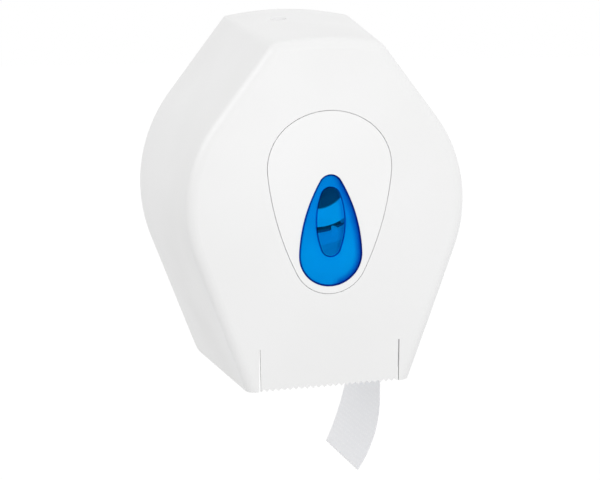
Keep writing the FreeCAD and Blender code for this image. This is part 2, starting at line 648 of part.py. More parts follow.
def cut_front_openings(cover):
    """The egg-shaped opening, the two slits beside the tear edge and the teeth between them."""
    egg = Drawing(cover, "egg_sketch", "XZ_Plane", front_plane)
    egg_outline(egg, as_size(0))
    feature("Pocket", egg, "egg_opening", Length=size.margin)
    low = edge_z - size.margin
    slits = Drawing(cover, "slits_sketch", "XZ_Plane", front_plane)
    fall = size.margin / (-edge_z - size.slit_top)
    low_width = (size.slit_wide - size.slit_narrow) * fall + size.slit_wide
    for middle in (size.slit_spacing / 2, -size.slit_spacing / 2):
        slits.polygon([
            (middle - size.slit_narrow / 2, -size.slit_top),
            (middle - low_width / 2, low),
            (middle + low_width / 2, low),
            (middle + size.slit_narrow / 2, -size.slit_top),
        ])
    feature("Pocket", slits, "slits", Length=size.margin)

    # Each notch runs a little below the edge, so that the teeth come to a point
    pitch = (size.slit_spacing - size.slit_wide) / size.tooth_count
    first = -(size.slit_spacing - size.slit_wide) / 2
    over = size.tooth_depth / 2
    half = pitch / 2 + pitch / 2 * over / size.tooth_depth
    notch = Drawing(cover, "notch_sketch", "XZ_Plane", front_plane)
    notch.polygon([
        (first + pitch / 2 - half, edge_z - over),
        (first + pitch / 2 + half, edge_z - over),
        (first + pitch / 2, edge_z + size.tooth_depth),
    ])
    tooth = feature("Pocket", notch, "notch", Length=size.margin)
    teeth = cover.newObject("PartDesign::LinearPattern", "teeth")
    teeth.Originals = [tooth]
    teeth.Direction = (origin_part(cover, "X_Axis"), [""])
    bind(teeth, "Occurrences", size.tooth_count)
    bind(teeth, "Length", pitch * (size.tooth_count - 1))
    cover.Tip = teeth
    doc.recompute()


def cut_lock_and_hinge_holes(cover, lug_face):
    seat = Drawing(cover, "lock_seat_sketch", "XY_Plane", lock_seat + size.margin)
    seat.circle(size.lock_x, size.lock_y, size.lock_flange + size.lock_gap)
    feature("Pocket", seat, "lock_seat", Length=size.margin)
    bore = Drawing(cover, "lock_bore_sketch", "XY_Plane", lock_seat + size.margin)
    bore.circle(size.lock_x, size.lock_y, size.barrel_radius + size.lock_gap)
    feature("Pocket", bore, "lock_bore", Length=size.margin + size.boss_height + size.margin / 2)
    depth = size.pin_reach + size.pin_end_gap
    for name, face, turn in (("right", lug_face, True), ("left", -lug_face, False)):
        hole = Drawing(cover, name + "_pin_sketch", "YZ_Plane", face)
        hole.circle(hinge_y, hinge_z, size.pin_radius + size.pin_running)
        feature("Pocket", hole, name + "_pin_hole", Length=depth, Reversed=turn)


def make_insert_plate():
    """Flush egg-shaped plate with a larger flange behind, a seat for the lens and an oval view hole."""
    body = new_body("insert_plate")
    flange_front = size.cover_depth - size.cover_wall - size.insert_gap
    flange_back = flange_front - size.insert_flange
    block = size.margin / 2
    flange = Drawing(body, "flange_sketch", "XZ_Plane", front_plane - block)
    egg_outline(flange, size.insert_margin)
    feature("Pad", flange, "flange", Length=block)
    for index, (across, up) in enumerate(STUDS, start=1):
        tab = Drawing(body, "tab_%d_sketch" % index, "XZ_Plane", front_plane - block)
        tab.circle(across, up, size.tab_radius)
        feature("Pad", tab, "tab_%d" % index, Length=block)
    inner = size.dome_radius - size.cover_wall - size.insert_gap
    dome_cut(body, "flange_face", flange_front, inner, -size.margin)
    plate = Drawing(body, "plate_sketch", "XZ_Plane", front_plane - block)
    egg_outline(plate, -size.insert_groove)
    feature("Pad", plate, "plate", Length=block)
    dome_cut(body, "plate_face", size.cover_depth, size.dome_radius, -size.margin)
    dome_cut(body, "plate_back", flange_back, inner - size.insert_flange, size.margin)
    holes = Drawing(body, "stud_holes_sketch", "XZ_Plane", front_plane)
    for across, up in STUDS:
        holes.circle(across, up, size.stud_radius + size.stud_gap)
    feature("Pocket", holes, "stud_holes", Length=size.margin)
    seat = Drawing(body, "lens_seat_sketch", "XZ_Plane", front_plane)
    drop_outline(
        seat, size.lens_top_radius, size.lens_top_z, size.lens_toe_radius, size.lens_toe_z, size.lens_side)
    feature("Pocket", seat, "lens_seat", Length=size.loft_overrun + size.lens_floor)
    view = Drawing(body, "view_hole_sketch", "XZ_Plane", front_plane)
    drop_outline(view, size.view_end, size.view_top_z, size.view_end, size.view_toe_z, size.view_side)
    feature("Pocket", view, "view_hole", Length=size.margin)
    return body


def make_window_lens():
    """Teardrop lens with a swelling outside, on its seat in the insert."""
    body = new_body("window_lens")
    rear = size.cover_depth - size.lens_floor + size.lens_gap
    drawing = Drawing(body, "lens_sketch", "XZ_Plane", rear)
    drop_outline(
        drawing,
        size.lens_top_radius - size.lens_gap, size.lens_top_z - size.lens_axis_z,
        size.lens_toe_radius - size.lens_gap, size.lens_toe_z - size.lens_axis_z,
        size.lens_side - size.lens_gap)
    feature("Pad", drawing, "lens", Length=size.margin / 2)
    swell = dome_cut(body, "swell", size.cover_depth + size.lens_proud, size.lens_swell, -size.margin)
    round_rim(body, "lens_rim", swell, size.lens_edge)
    bind(body, "Placement.Base.z", size.lens_axis_z)
    doc.recompute()
    return body


def make_insert_clips():
    """Push-on clips on the studs, behind the insert's tabs."""
    clips = []
    flange_back = size.cover_depth - size.cover_wall - size.insert_gap - size.insert_flange
    inner = size.dome_radius - size.cover_wall - size.insert_gap - size.insert_flange
    for index, (across, up) in enumerate(STUDS, start=1):
        body = new_body("insert_clip_%d" % index)
        drawing = Drawing(body, "clip_%d_sketch" % index, "XZ_Plane")
        drawing.circle(0, 0, size.clip_radius)
        drawing.circle(0, 0, size.stud_radius + size.clip_fit)
        feature("Pad", drawing, "clip_%d" % index, Length=size.clip_thickness, Reversed=True)
        fall = inner - root(inner * inner - across * across - up * up)
        bind(body, "Placement.Base.x", across)
        bind(body, "Placement.Base.y", fall - flange_back + size.clip_gap)
        bind(body, "Placement.Base.z", up)
        clips.append(body)
    return clips


# Heights in the lock, from the seat of its flange downwards
barrel_end = lock_seat - size.barrel_length
cam_top = barrel_end - size.plug_end_gap
cam_under = cam_top - size.cam_thickness


def on_lock_axis(body):
    bind(body, "Placement.Base.x", size.lock_x)
    bind(body, "Placement.Base.y", size.lock_y)
    doc.recompute()
    return body


def turned_about_z(label, profile):
    """A turned piece on the lock's axis from a profile of radius and height."""
    body = new_body(label)
    drawing = Drawing(body, label + "_sketch", "XZ_Plane")
    drawing.polygon(profile)
    turned("Revolution", drawing, label + "_turned", "Z_Axis")
    return body


def make_lock():
    head_seat = lock_seat + size.lock_flange_height - size.plug_head_height
    flange_top = lock_seat + size.lock_flange_height
    bore = size.plug_radius + size.plug_running
    counterbore = size.plug_head + size.plug_running
    barrel = turned_about_z("lock_barrel", [
        (bore, barrel_end),
        (size.barrel_radius, barrel_end),
        (size.barrel_radius, lock_seat),
        (size.lock_flange, lock_seat),
        (size.lock_flange, flange_top),
        (counterbore, flange_top),
        (counterbore, head_seat - size.seat_gap),
        (bore, head_seat - size.seat_gap),
    ])
    boss_under = lock_seat - size.boss_height - size.seat_gap
    nut_bore = size.barrel_radius + size.screw_fit
    nut = turned_about_z("lock_nut", [
        (nut_bore, boss_under - size.nut_height),
        (size.nut_radius, boss_under - size.nut_height),
        (size.nut_radius, boss_under),
        (nut_bore, boss_under),
    ])
    plug = make_lock_plug(head_seat, flange_top)
    cam = make_lock_cam()
    screw_bore = size.cam_screw_radius
    screw_seat = cam_under - size.seat_gap
    screw = turned_about_z("cam_screw", [
        (0, screw_seat - size.screw_head_height),
        (size.screw_head, screw_seat - size.screw_head_height),
        (size.screw_head, screw_seat),
        (screw_bore, screw_seat),
        (screw_bore, cam_top + size.cam_screw_length),
        (0, cam_top + size.cam_screw_length),
    ])
    return [on_lock_axis(piece) for piece in (barrel, nut, plug, cam, screw)]


def make_lock_plug(head_seat, flange_top):
    """Plug with a flat head in the bush, a key slot from above and a screw hole from below."""
    screw_bore = size.cam_screw_radius + size.screw_fit
    hole_top = cam_top + size.cam_screw_length + size.plug_end_gap
    plug = turned_about_z("lock_plug", [
        (screw_bore, cam_top + size.seat_gap),
        (size.plug_radius, cam_top + size.seat_gap),
        (size.plug_radius, head_seat),
        (size.plug_head, head_seat),
        (size.plug_head, flange_top),
        (0, flange_top),
        (0, hole_top),
        (screw_bore, hole_top),
    ])
    slot = Drawing(plug, "key_slot_sketch", "XY_Plane", flange_top)
    along = size.key_slot_length / 2
    across = size.key_slot_width / 2
    slot.rectangle(-along, -across, along, across)
    feature("Pocket", slot, "key_slot", Length=size.key_slot_depth)
    return plug


def make_lock_cam():
    """Flat arm that points to the right when unlocked, with a hook turned down at its end."""
    cam = new_body("lock_cam")
    hub = Drawing(cam, "cam_hub_sketch", "XY_Plane", cam_under)
    hub.circle(0, 0, size.cam_hub)
    feature("Pad", hub, "cam_hub", Length=size.cam_thickness)
    arm = Drawing(cam, "cam_arm_sketch", "XY_Plane", cam_under)
    arm.rectangle(size.cam_hub / 2, -size.cam_width / 2, size.cam_reach, size.cam_width / 2)
    feature("Pad", arm, "cam_arm", Length=size.cam_thickness)
    hook = Drawing(cam, "cam_hook_sketch", "XY_Plane", cam_under - size.hook_drop)
    hook.rectangle(
        size.cam_reach - size.hook_thickness, -size.cam_width / 2, size.cam_reach, size.cam_width / 2)
    feature("Pad", hook, "cam_hook", Length=size.hook_drop + size.cam_thickness)
    hole = Drawing(cam, "cam_hole_sketch", "XY_Plane", cam_top)
    hole.circle(0, 0, size.cam_screw_radius + size.screw_fit)
    feature("Pocket", hole, "cam_hole", Length=size.cam_thickness)
    return cam


def keeper_screw_heights():
    first = keeper_base - size.keeper_screw_drop
    return [first, first - size.keeper_screw_pitch]


pad_front = size.plate_thickness + size.pad_height


def make_back_plate():
    """Plate with a rim inside the cover's walls, bosses for the wall screws, spindle pad and hinge ears."""
    body = new_body("back_plate")
    inset = size.cover_wall + size.plate_rim * lean_in + size.plate_gap
    tray = Drawing(body, "plate_outline", "XZ_Plane")
    outline(tray, inset, size.plate_corner, plate_bottom)
    feature("Pad", tray, "tray", Length=size.plate_rim)
    inside = Drawing(body, "rim_inside", "XZ_Plane", size.plate_rim)
    outline(
        inside, inset + size.rim_wall, size.plate_corner - size.rim_wall, plate_bottom - size.rim_wall)
    feature("Pocket", inside, "tray_inside", Length=size.plate_rim - size.plate_thickness)
    corners = [
        (mount_spacing_x / 2 * side, size.mount_spacing_z / 2 * up) for side in (-1, 1) for up in (-1, 1)
    ]
    bosses = Drawing(body, "mount_bosses_sketch", "XZ_Plane", size.plate_thickness)
    for across, up in corners:
        bosses.circle(across, up, size.mount_boss)
    feature("Pad", bosses, "mount_bosses", Length=size.mount_boss_height)
    pad = Drawing(body, "spindle_pad_sketch", "XZ_Plane", size.plate_thickness)
    pad.circle(0, size.spindle_height, size.pad_radius)
    feature("Pad", pad, "spindle_pad", Length=size.pad_height)
    add_hinge_ears(body)
    holes = Drawing(body, "mount_holes_sketch", "XZ_Plane", size.plate_thickness + size.mount_boss_height)
    for across, up in corners:
        holes.circle(across, up, size.mount_hole / 2)
    feature("Pocket", holes, "mount_holes", Length=size.plate_thickness + size.mount_boss_height)
    pilot = size.cam_screw_radius + size.screw_fit
    pilots = Drawing(body, "foot_pilots_sketch", "XZ_Plane", pad_front)
    for across, up in foot_screw_places():
        pilots.circle(across, size.spindle_height + up, pilot)
    feature("Pocket", pilots, "foot_pilots", Length=size.foot_screw_length + size.seat_gap * 2)
    latch = Drawing(body, "keeper_pilots_sketch", "XZ_Plane", size.plate_thickness)
    for up in keeper_screw_heights():
        latch.circle(size.lock_x, up, pilot)
    feature("Pocket", latch, "keeper_pilots", Length=size.keeper_screw_length + size.seat_gap * 2)
    return body


def add_hinge_ears(body):
    """Two ears that reach below the plate and carry the hinge pins."""
    reach = hinge_y - size.ear_round
    low = hinge_z
    for name, face in (("right", ear_inner), ("left", -(ear_inner + size.ear_thickness))):
        ear = Drawing(body, name + "_ear_sketch", "YZ_Plane", face)
        front = ear.line((reach.number, low.number), (reach.number, ear_top.number))
        top = ear.line((reach.number, ear_top.number), (0, ear_top.number))
        rear = ear.line((0, ear_top.number), (0, low.number))
        ledge = ear.line((0, low.number), (hinge_y.number + size.ear_round.number, low.number))
        end = ear.arc((hinge_y.number, low.number), size.ear_round.number, math.pi, 2 * math.pi)
        ear.rule("Tangent", front, START, end, START)
        ear.rule("Coincident", front, END, top, START)
        ear.rule("Coincident", top, END, rear, START)
        ear.rule("Coincident", rear, END, ledge, START)
        ear.rule("Coincident", ledge, END, end, END)
        ear.rule("Vertical", front)
        ear.rule("Horizontal", top)
        ear.rule("Vertical", rear)
        ear.rule("Horizontal", ledge)
        ear.rule("PointOnObject", rear, START, Y_AXIS)
        ear.place(end, CENTRE, hinge_y, hinge_z)
        ear.dimension(size.ear_round, "Radius", end)
        ear.dimension(hinge_z, "DistanceY", ORIGIN, START, ledge, START)
        ear.dimension(ear_top, "DistanceY", ORIGIN, START, top, START)
        feature("Pad", ear, name + "_ear", Length=size.ear_thickness)
        hole = Drawing(body, name + "_ear_hole_sketch", "YZ_Plane", face)
        hole.circle(hinge_y, hinge_z, size.pin_radius + size.pin_fit)
        feature("Pocket", hole, name + "_ear_hole", Length=size.ear_thickness, Reversed=True)


def foot_screw_places():
    """Places of the foot's screws about the spindle's axis, with one straight up."""
    places = []
    for index in range(size.foot_screws.number):
        turn = as_size(90) + as_size(360 * index) / size.foot_screws
        places.append((size.foot_screw_circle * cosine(turn), size.foot_screw_circle * sine(turn)))
    return places


def turned_about_y(label, profile):
    """A turned piece on the spindle's axis from a profile of distance from the wall and radius."""
    body = new_body(label)
    drawing = Drawing(body, label + "_sketch", "YZ_Plane")
    drawing.polygon([(-as_size(out), radius) for out, radius in profile])
    turned("Revolution", drawing, label + "_turned")
    bind(body, "Placement.Base.z", size.spindle_height)
    doc.recompute()
    return body


foot_front = pad_front + size.seat_gap + size.foot_thickness


def make_spindle():
    """Spindle with a screwed foot, and the cap on its neck."""
    foot_rear = pad_front + size.seat_gap
    neck_end = size.spindle_end + size.neck_length
    post = turned_about_y("spindle_post", [
        (foot_rear, 0),
        (foot_rear, size.foot_radius),
        (foot_front, size.foot_radius),
        (foot_front, size.spindle_radius),
        (size.spindle_end, size.spindle_radius),
        (size.spindle_end, size.neck_radius),
        (neck_end, size.neck_radius),
        (neck_end, 0),
    ])
    holes = Drawing(post, "foot_holes_sketch", "XZ_Plane", foot_front)
    for across, up in foot_screw_places():
        holes.circle(across, up, size.cam_screw_radius + size.screw_fit)
    drilled = feature("Pocket", holes, "foot_holes", Length=size.foot_thickness)
    root_edges = [
        "Edge%d" % index for index, edge in enumerate(drilled.Shape.Edges, start=1)
        if isinstance(edge.Curve, Part.Circle) and abs(edge.Curve.Radius - size.spindle_radius.number) < SAME
        and abs(edge.BoundBox.YMax + foot_front.number) < SAME
    ]
    fillet = post.newObject("PartDesign::Fillet", "foot_fillet")
    fillet.Base = (drilled, root_edges)
    bind(fillet, "Radius", size.foot_fillet)
    doc.recompute()

    cap_rear = size.spindle_end + size.seat_gap
    cap_end = neck_end + size.seat_gap + size.cap_face
    cap_bore = size.neck_radius + size.cap_fit
    cap = turned_about_y("spindle_cap", [
        (cap_rear, cap_bore),
        (cap_rear, size.cap_radius),
        (cap_end - size.cap_edge, size.cap_radius),
        (cap_end, size.cap_radius - size.cap_edge),
        (cap_end, 0),
        (neck_end + size.seat_gap, 0),
        (neck_end + size.seat_gap, cap_bore),
    ])
    return [post, cap]


def make_screw(label, across, head_rear, up, length):
    """A pan-head screw driven towards the wall, with the underside of its head that far from the wall."""
    body = new_body(label)
    drawing = Drawing(body, label + "_sketch", "YZ_Plane")
    crown = size.screw_head_height / 2
    drawing.polygon([
        (length, 0),
        (length, size.cam_screw_radius),
        (0, size.cam_screw_radius),
        (0, size.screw_head),
        (-crown, size.screw_head),
        (-size.screw_head_height, size.screw_head - crown),
        (-size.screw_head_height, 0),
    ])
    turned("Revolution", drawing, label + "_turned")
    bind(body, "Placement.Base.x", across)
    bind(body, "Placement.Base.y", -head_rear)
    bind(body, "Placement.Base.z", up)
    doc.recompute()
    return body


def make_screws():
    screws = []
    for index, (across, up) in enumerate(foot_screw_places(), start=1):
        screws.append(make_screw(
            "spindle_screw_%d" % index, across, foot_front + size.seat_gap, size.spindle_height + up,
            size.foot_thickness + size.foot_screw_length))
    keeper_front = size.plate_thickness + size.seat_gap + size.keeper_thickness
    for index, up in enumerate(keeper_screw_heights(), start=1):
        screws.append(make_screw(
            "keeper_screw_%d" % index, size.lock_x, keeper_front + size.seat_gap, up,
            size.keeper_thickness + size.keeper_screw_length))
    return screws


def make_lock_keeper():
    """Bent sheet: a leg on the back plate, an arm towards the room and a lip turned up before the hook."""
    body = new_body("lock_keeper")
    rear = -(size.plate_thickness + size.seat_gap)
    sheet_gauge = size.keeper_thickness
    lip_rear = size.lock_y + size.cam_reach - size.hook_thickness - size.keeper_clearance
    drawing = Drawing(body, "keeper_sketch", "YZ_Plane", size.lock_x - size.keeper_width / 2)
    drawing.polygon([
        (rear, keeper_base - size.keeper_leg),
        (rear - sheet_gauge, keeper_base - size.keeper_leg),
        (rear - sheet_gauge, keeper_base),
        (lip_rear - sheet_gauge, keeper_base),
        (lip_rear - sheet_gauge, keeper_base + size.keeper_lip),
        (lip_rear, keeper_base + size.keeper_lip),
        (lip_rear, keeper_base + sheet_gauge),
        (rear, keeper_base + sheet_gauge),
    ])
    feature("Pad", drawing, "keeper", Length=size.keeper_width)
    holes = Drawing(body, "keeper_holes_sketch", "XZ_Plane", -rear + sheet_gauge)
    for up in keeper_screw_heights():
        holes.circle(size.lock_x, up, size.cam_screw_radius + size.screw_fit)
    feature("Pocket", holes, "keeper_holes", Length=sheet_gauge)
    return body


def make_hinge_pins():
    """Steel pins from the ears into the cover's lugs."""
    pins = []
    length = size.pin_stub + size.ear_thickness + size.lug_gap + size.pin_reach
    for label, start in (
            ("hinge_pin_left", -(ear_inner - size.pin_stub + length)),
            ("hinge_pin_right", ear_inner - size.pin_stub)):
        pin = new_body(label)
        drawing = Drawing(pin, label + "_sketch", "YZ_Plane", start)
        drawing.circle(hinge_y, hinge_z, size.pin_radius)
        feature("Pad", drawing, label + "_rod", Length=length)
        pins.append(pin)
    return pins


roll_front = size.roll_back + size.roll_width
core_bore = size.core_radius - size.core_wall


def make_core_adaptor():
    """Spool on the spindle: bearing tube, rear flange, drum with an eye in front and fins for the core."""
    bore = size.spindle_radius + size.hub_running
    tube = bore + size.hub_wall
    tube_rear = foot_front + size.foot_fillet + size.hub_end_gap
    tube_front = size.spindle_end - size.hub_end_gap
    flange_front = size.roll_back - size.roll_gap
    flange_rear = flange_front - size.flange_thickness
    drum_end = roll_front + size.drum_proud
    drum_bore = size.drum_radius - size.drum_wall
    body = turned_about_y("core_adaptor", [
        (tube_rear, bore),
        (tube_rear, tube),
        (flange_rear, tube),
        (flange_rear, size.flange_radius),
        (flange_front, size.flange_radius),
        (flange_front, size.drum_radius),
        (drum_end, size.drum_radius),
        (drum_end, size.eye_radius),
        (drum_end - size.drum_wall, size.eye_radius),
        (drum_end - size.drum_wall, drum_bore),
        (flange_front, drum_bore),
        (flange_front, tube),
        (tube_front, tube),
        (tube_front, bore),
    ])
    fin = Drawing(body, "fin_sketch", "XZ_Plane", flange_front)
    tip = core_bore - size.core_fit
    fin.rectangle(drum_bore + size.drum_wall / 2, -size.fin_thickness / 2, tip, size.fin_thickness / 2)
    first = feature("Pad", fin, "fin", Length=size.roll_width)
    fins = body.newObject("PartDesign::PolarPattern", "fins")
    fins.Originals = [first]
    fins.Axis = (origin_part(body, "Y_Axis"), [""])
    fins.Angle = 360.0
    bind(fins, "Occurrences", size.fin_count)
    body.Tip = fins
    doc.recompute()
    return body


def make_tube(label, inner, outer):
    return turned_about_y(label, [
        (size.roll_back, inner),
        (size.roll_back, outer),
        (roll_front, outer),
        (roll_front, inner),
    ])


def tail_section(body, name, out, start, radius, turn):
    """Section of the loose end: round the roll, straight down, then curling towards the middle."""
    near = size.roll_radius + size.roll_gap
    far = near + size.paper_thickness
    inner_curl = radius - size.paper_thickness / 2
    outer_curl = radius + size.paper_thickness / 2
    middle = near + size.paper_thickness / 2 - radius
    axis_z = size.spindle_height
    wrap = math.radians(size.wrap_angle.number)
    bend = math.radians(turn.number)
    low = -start.number
    drawing = Drawing(body, name, "XZ_Plane", out)

    def on(centre, reach, angle):
        return (centre[0] + reach * math.cos(angle), centre[1] + reach * math.sin(angle))

    roll = (0, axis_z.number)
    curl = (middle.number, low)
    outside = [
        drawing.arc(roll, far.number, 0, wrap),
        drawing.line((far.number, axis_z.number), (far.number, low)),
        drawing.arc(curl, outer_curl.number, -bend, 0),
    ]
    inside = [
        drawing.arc(roll, near.number, 0, wrap),
        drawing.line((near.number, axis_z.number), (near.number, low)),
        drawing.arc(curl, inner_curl.number, -bend, 0),
    ]
    top = drawing.line(on(roll, near.number, wrap), on(roll, far.number, wrap))
    end = drawing.line(on(curl, outer_curl.number, -bend), on(curl, inner_curl.number, -bend))
    for face, wrapped, curled in ((outside, far, outer_curl), (inside, near, inner_curl)):
        drawing.rule("Tangent", face[0], START, face[1], START)
        drawing.rule("Tangent", face[1], END, face[2], END)
        drawing.rule("Vertical", face[1])
        drawing.dimension(wrapped, "Radius", face[0])
        drawing.dimension(curled, "Radius", face[2])
        drawing.rule("PointOnObject", face[0], CENTRE, Y_AXIS)
        drawing.dimension(axis_z, "DistanceY", ORIGIN, START, face[0], CENTRE)
        drawing.dimension(-start, "DistanceY", ORIGIN, START, face[2], CENTRE)
    drawing.rule("Coincident", top, START, inside[0], END)
    drawing.rule("Coincident", top, END, outside[0], END)
    drawing.rule("Coincident", end, START, outside[2], START)
    drawing.rule("Coincident", end, END, inside[2], START)
    drawing.angle(size.wrap_angle, top)
    drawing.angle(as_size(180) - turn, end)
    drawing.rule("PointOnObject", inside[0], CENTRE, top)
    drawing.rule("PointOnObject", inside[2], CENTRE, end)
    return drawing


def make_paper_tail():
    """The loose end, whose front edge curls tighter and ends higher than its rear edge."""
    body = new_body("paper_tail")
    rear = tail_section(
        body, "tail_rear", size.roll_back, size.rear_curl_start, size.rear_curl_radius, size.rear_curl_angle)
    front = tail_section(
        body, "tail_front", roll_front, size.front_curl_start, size.front_curl_radius, size.front_curl_angle)
    feature("AdditiveLoft", rear, "tail", Sections=[front.sketch], Ruled=True)
    return body


pieces = [make_back_plate()]
pieces += make_spindle()
pieces += make_screws()
pieces += make_hinge_pins()
pieces += [make_lock_keeper(), make_front_cover(), make_insert_plate(), make_window_lens()]
pieces += make_insert_clips()
pieces += make_lock()
pieces += [
    make_core_adaptor(),
    make_tube("cardboard_core", core_bore, size.core_radius),
    make_tube("paper_roll", size.core_radius + size.core_fit, size.roll_radius),
    make_paper_tail(),
]
doc.recompute()

for item in doc.Objects:
    if "Invalid" in item.State or "Error" in item.State:
        raise RuntimeError("%s failed: %s" % (item.Label, item.getStatusString()))
for piece in pieces:
    if piece.Shape.isNull() or not piece.Shape.isValid() or len(piece.Shape.Solids) != 1:
        raise RuntimeError("%s is not one valid solid" % piece.Label)

os.makedirs("parts", exist_ok=True)
for piece in pieces:
    piece.Shape.exportStep("parts/%s.step" % piece.Label)
    box = piece.Shape.optimalBoundingBox(True, False)
    print("%-18s %10.0f mm3  X %.1f %.1f  Y %.1f %.1f  Z %.1f %.1f" % (
        piece.Label, piece.Shape.Volume, box.XMin, box.XMax, box.YMin, box.YMax, box.ZMin, box.ZMax))
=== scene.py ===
"""Finishes, loose paper, screws and stage of a wall dispenser for toilet paper."""

import math

import bmesh
import bpy
from bpy.props import FloatProperty, FloatVectorProperty, IntProperty, PointerProperty
from mathutils import Matrix, Vector, noise


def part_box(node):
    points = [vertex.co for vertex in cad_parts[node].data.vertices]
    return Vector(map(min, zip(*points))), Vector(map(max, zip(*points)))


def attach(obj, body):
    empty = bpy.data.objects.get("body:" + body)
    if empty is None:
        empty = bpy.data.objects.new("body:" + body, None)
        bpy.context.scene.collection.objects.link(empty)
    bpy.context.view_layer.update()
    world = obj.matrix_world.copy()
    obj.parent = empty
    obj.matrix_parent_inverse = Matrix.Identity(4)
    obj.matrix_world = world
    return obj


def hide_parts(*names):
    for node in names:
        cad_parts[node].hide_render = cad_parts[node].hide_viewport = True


bl_info = {
    "name": "Toilet Paper Dispenser",
    "version": (1, 0, 0),
    "blender": (4, 5, 0),
    "location": "3D View > Sidebar > Dispenser",
    "description": "Finishes, loose paper, screws and stage of a wall dispenser for toilet paper",
    "category": "Object",
}

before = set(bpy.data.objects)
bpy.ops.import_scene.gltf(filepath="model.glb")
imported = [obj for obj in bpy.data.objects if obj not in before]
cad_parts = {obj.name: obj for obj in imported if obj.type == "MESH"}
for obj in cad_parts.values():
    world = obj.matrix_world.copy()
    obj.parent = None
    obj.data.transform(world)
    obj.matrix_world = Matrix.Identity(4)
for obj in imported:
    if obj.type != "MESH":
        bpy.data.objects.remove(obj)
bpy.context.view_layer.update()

# Width of the photograph in pixels, and the width of film that the lens length is given for
PHOTO_WIDTH = 600
FILM_WIDTH = 36.0

WHITE = (1.0, 1.0, 1.0)
PLASTIC_IOR = 1.49
# Scale of a wave texture whose bands are a metre apart
WAVE_SCALE = 0.314
# Light that has come less far than the first is still in a slit or groove, and beyond the second it is free
SLIT_LIGHT = 0.001
FREE_LIGHT = 0.003
# Edges of the screws that are sharper than this look sharp
SHARP_ANGLE = math.radians(40)

# Noise waves across and along the loose paper, and their place in the noise
BROAD_WAVES = (2.3, 3.4, 1.7)
SMALL_WAVES = (6.1, 7.9, 5.2)
TORN_WAVES = (61.0, 4.0, 0.0)

WALL_SCREWS = ["spindle_screw_1", "spindle_screw_2", "spindle_screw_3", "keeper_screw_1", "keeper_screw_2"]
CLIPS = ["insert_clip_1", "insert_clip_2", "insert_clip_3", "insert_clip_4"]


def colour_setting(name, description, default):
    return FloatVectorProperty(
        name=name, description=description, default=default, subtype="COLOR", size=3, min=0.0, max=1.0)


def length_setting(name, description, default):
    return FloatProperty(
        name=name, description=description, default=default, subtype="DISTANCE", unit="LENGTH", precision=5)


def angle_setting(name, description, degrees):
    return FloatProperty(
        name=name, description=description, default=math.radians(degrees), subtype="ANGLE", unit="ROTATION")


def share_setting(name, description, default):
    return FloatProperty(
        name=name, description=description, default=default, subtype="FACTOR", min=0.0, max=1.0)


def level_setting(name, description, default):
    return FloatProperty(name=name, description=description, default=default, min=0.0)


def count_setting(name, description, default):
    return IntProperty(name=name, description=description, default=default, min=1)


def place_setting(name, description, default):
    return FloatVectorProperty(
        name=name, description=description, default=default, subtype="TRANSLATION", unit="LENGTH")


class CoverSettings(bpy.types.PropertyGroup):
    """Colours and grain of the white mouldings that show from outside, and the painted shade on the slits'
    walls.
    """

    shell: colour_setting("Shell", "Colour of the cover", (0.86, 0.86, 0.86))
    shell_aged: colour_setting(
        "Shell, aged", "Colour of the cover's slightly aged patches", (0.845, 0.845, 0.843))
    insert: colour_setting("Insert", "Colour of the plate round the window", (0.875, 0.875, 0.875))
    insert_aged: colour_setting(
        "Insert, aged", "Colour of the plate's slightly aged patches", (0.865, 0.865, 0.863))
    # Slit shade: painted shade, a dark colour on the slits' walls that stands in for the shade inside the
    # slits
    slit_shade: colour_setting("Dust", "Colour of the slits' dusty walls", (0.34, 0.34, 0.34))
    slit: length_setting("Slit", "Distance of the slits from the middle", 0.0575)
    slit_reach: length_setting("Slit reach", "Distance of a slit's walls from its middle, at most", 0.001)
    grain: length_setting("Grain", "Size of the moulded grain", 0.0007)
    grain_depth: length_setting("Grain depth", "Depth of the moulded grain", 0.000012)
    patch: length_setting("Patch", "Size of the broad patches of tone", 0.09)
    through: share_setting("Through", "Share of the light that gets through a face of the wall", 0.97)
    smooth: share_setting("Smoothest", "Roughness where the moulding is most polished", 0.34)
    rough: share_setting("Roughest", "Roughness where the moulding is least polished", 0.44)


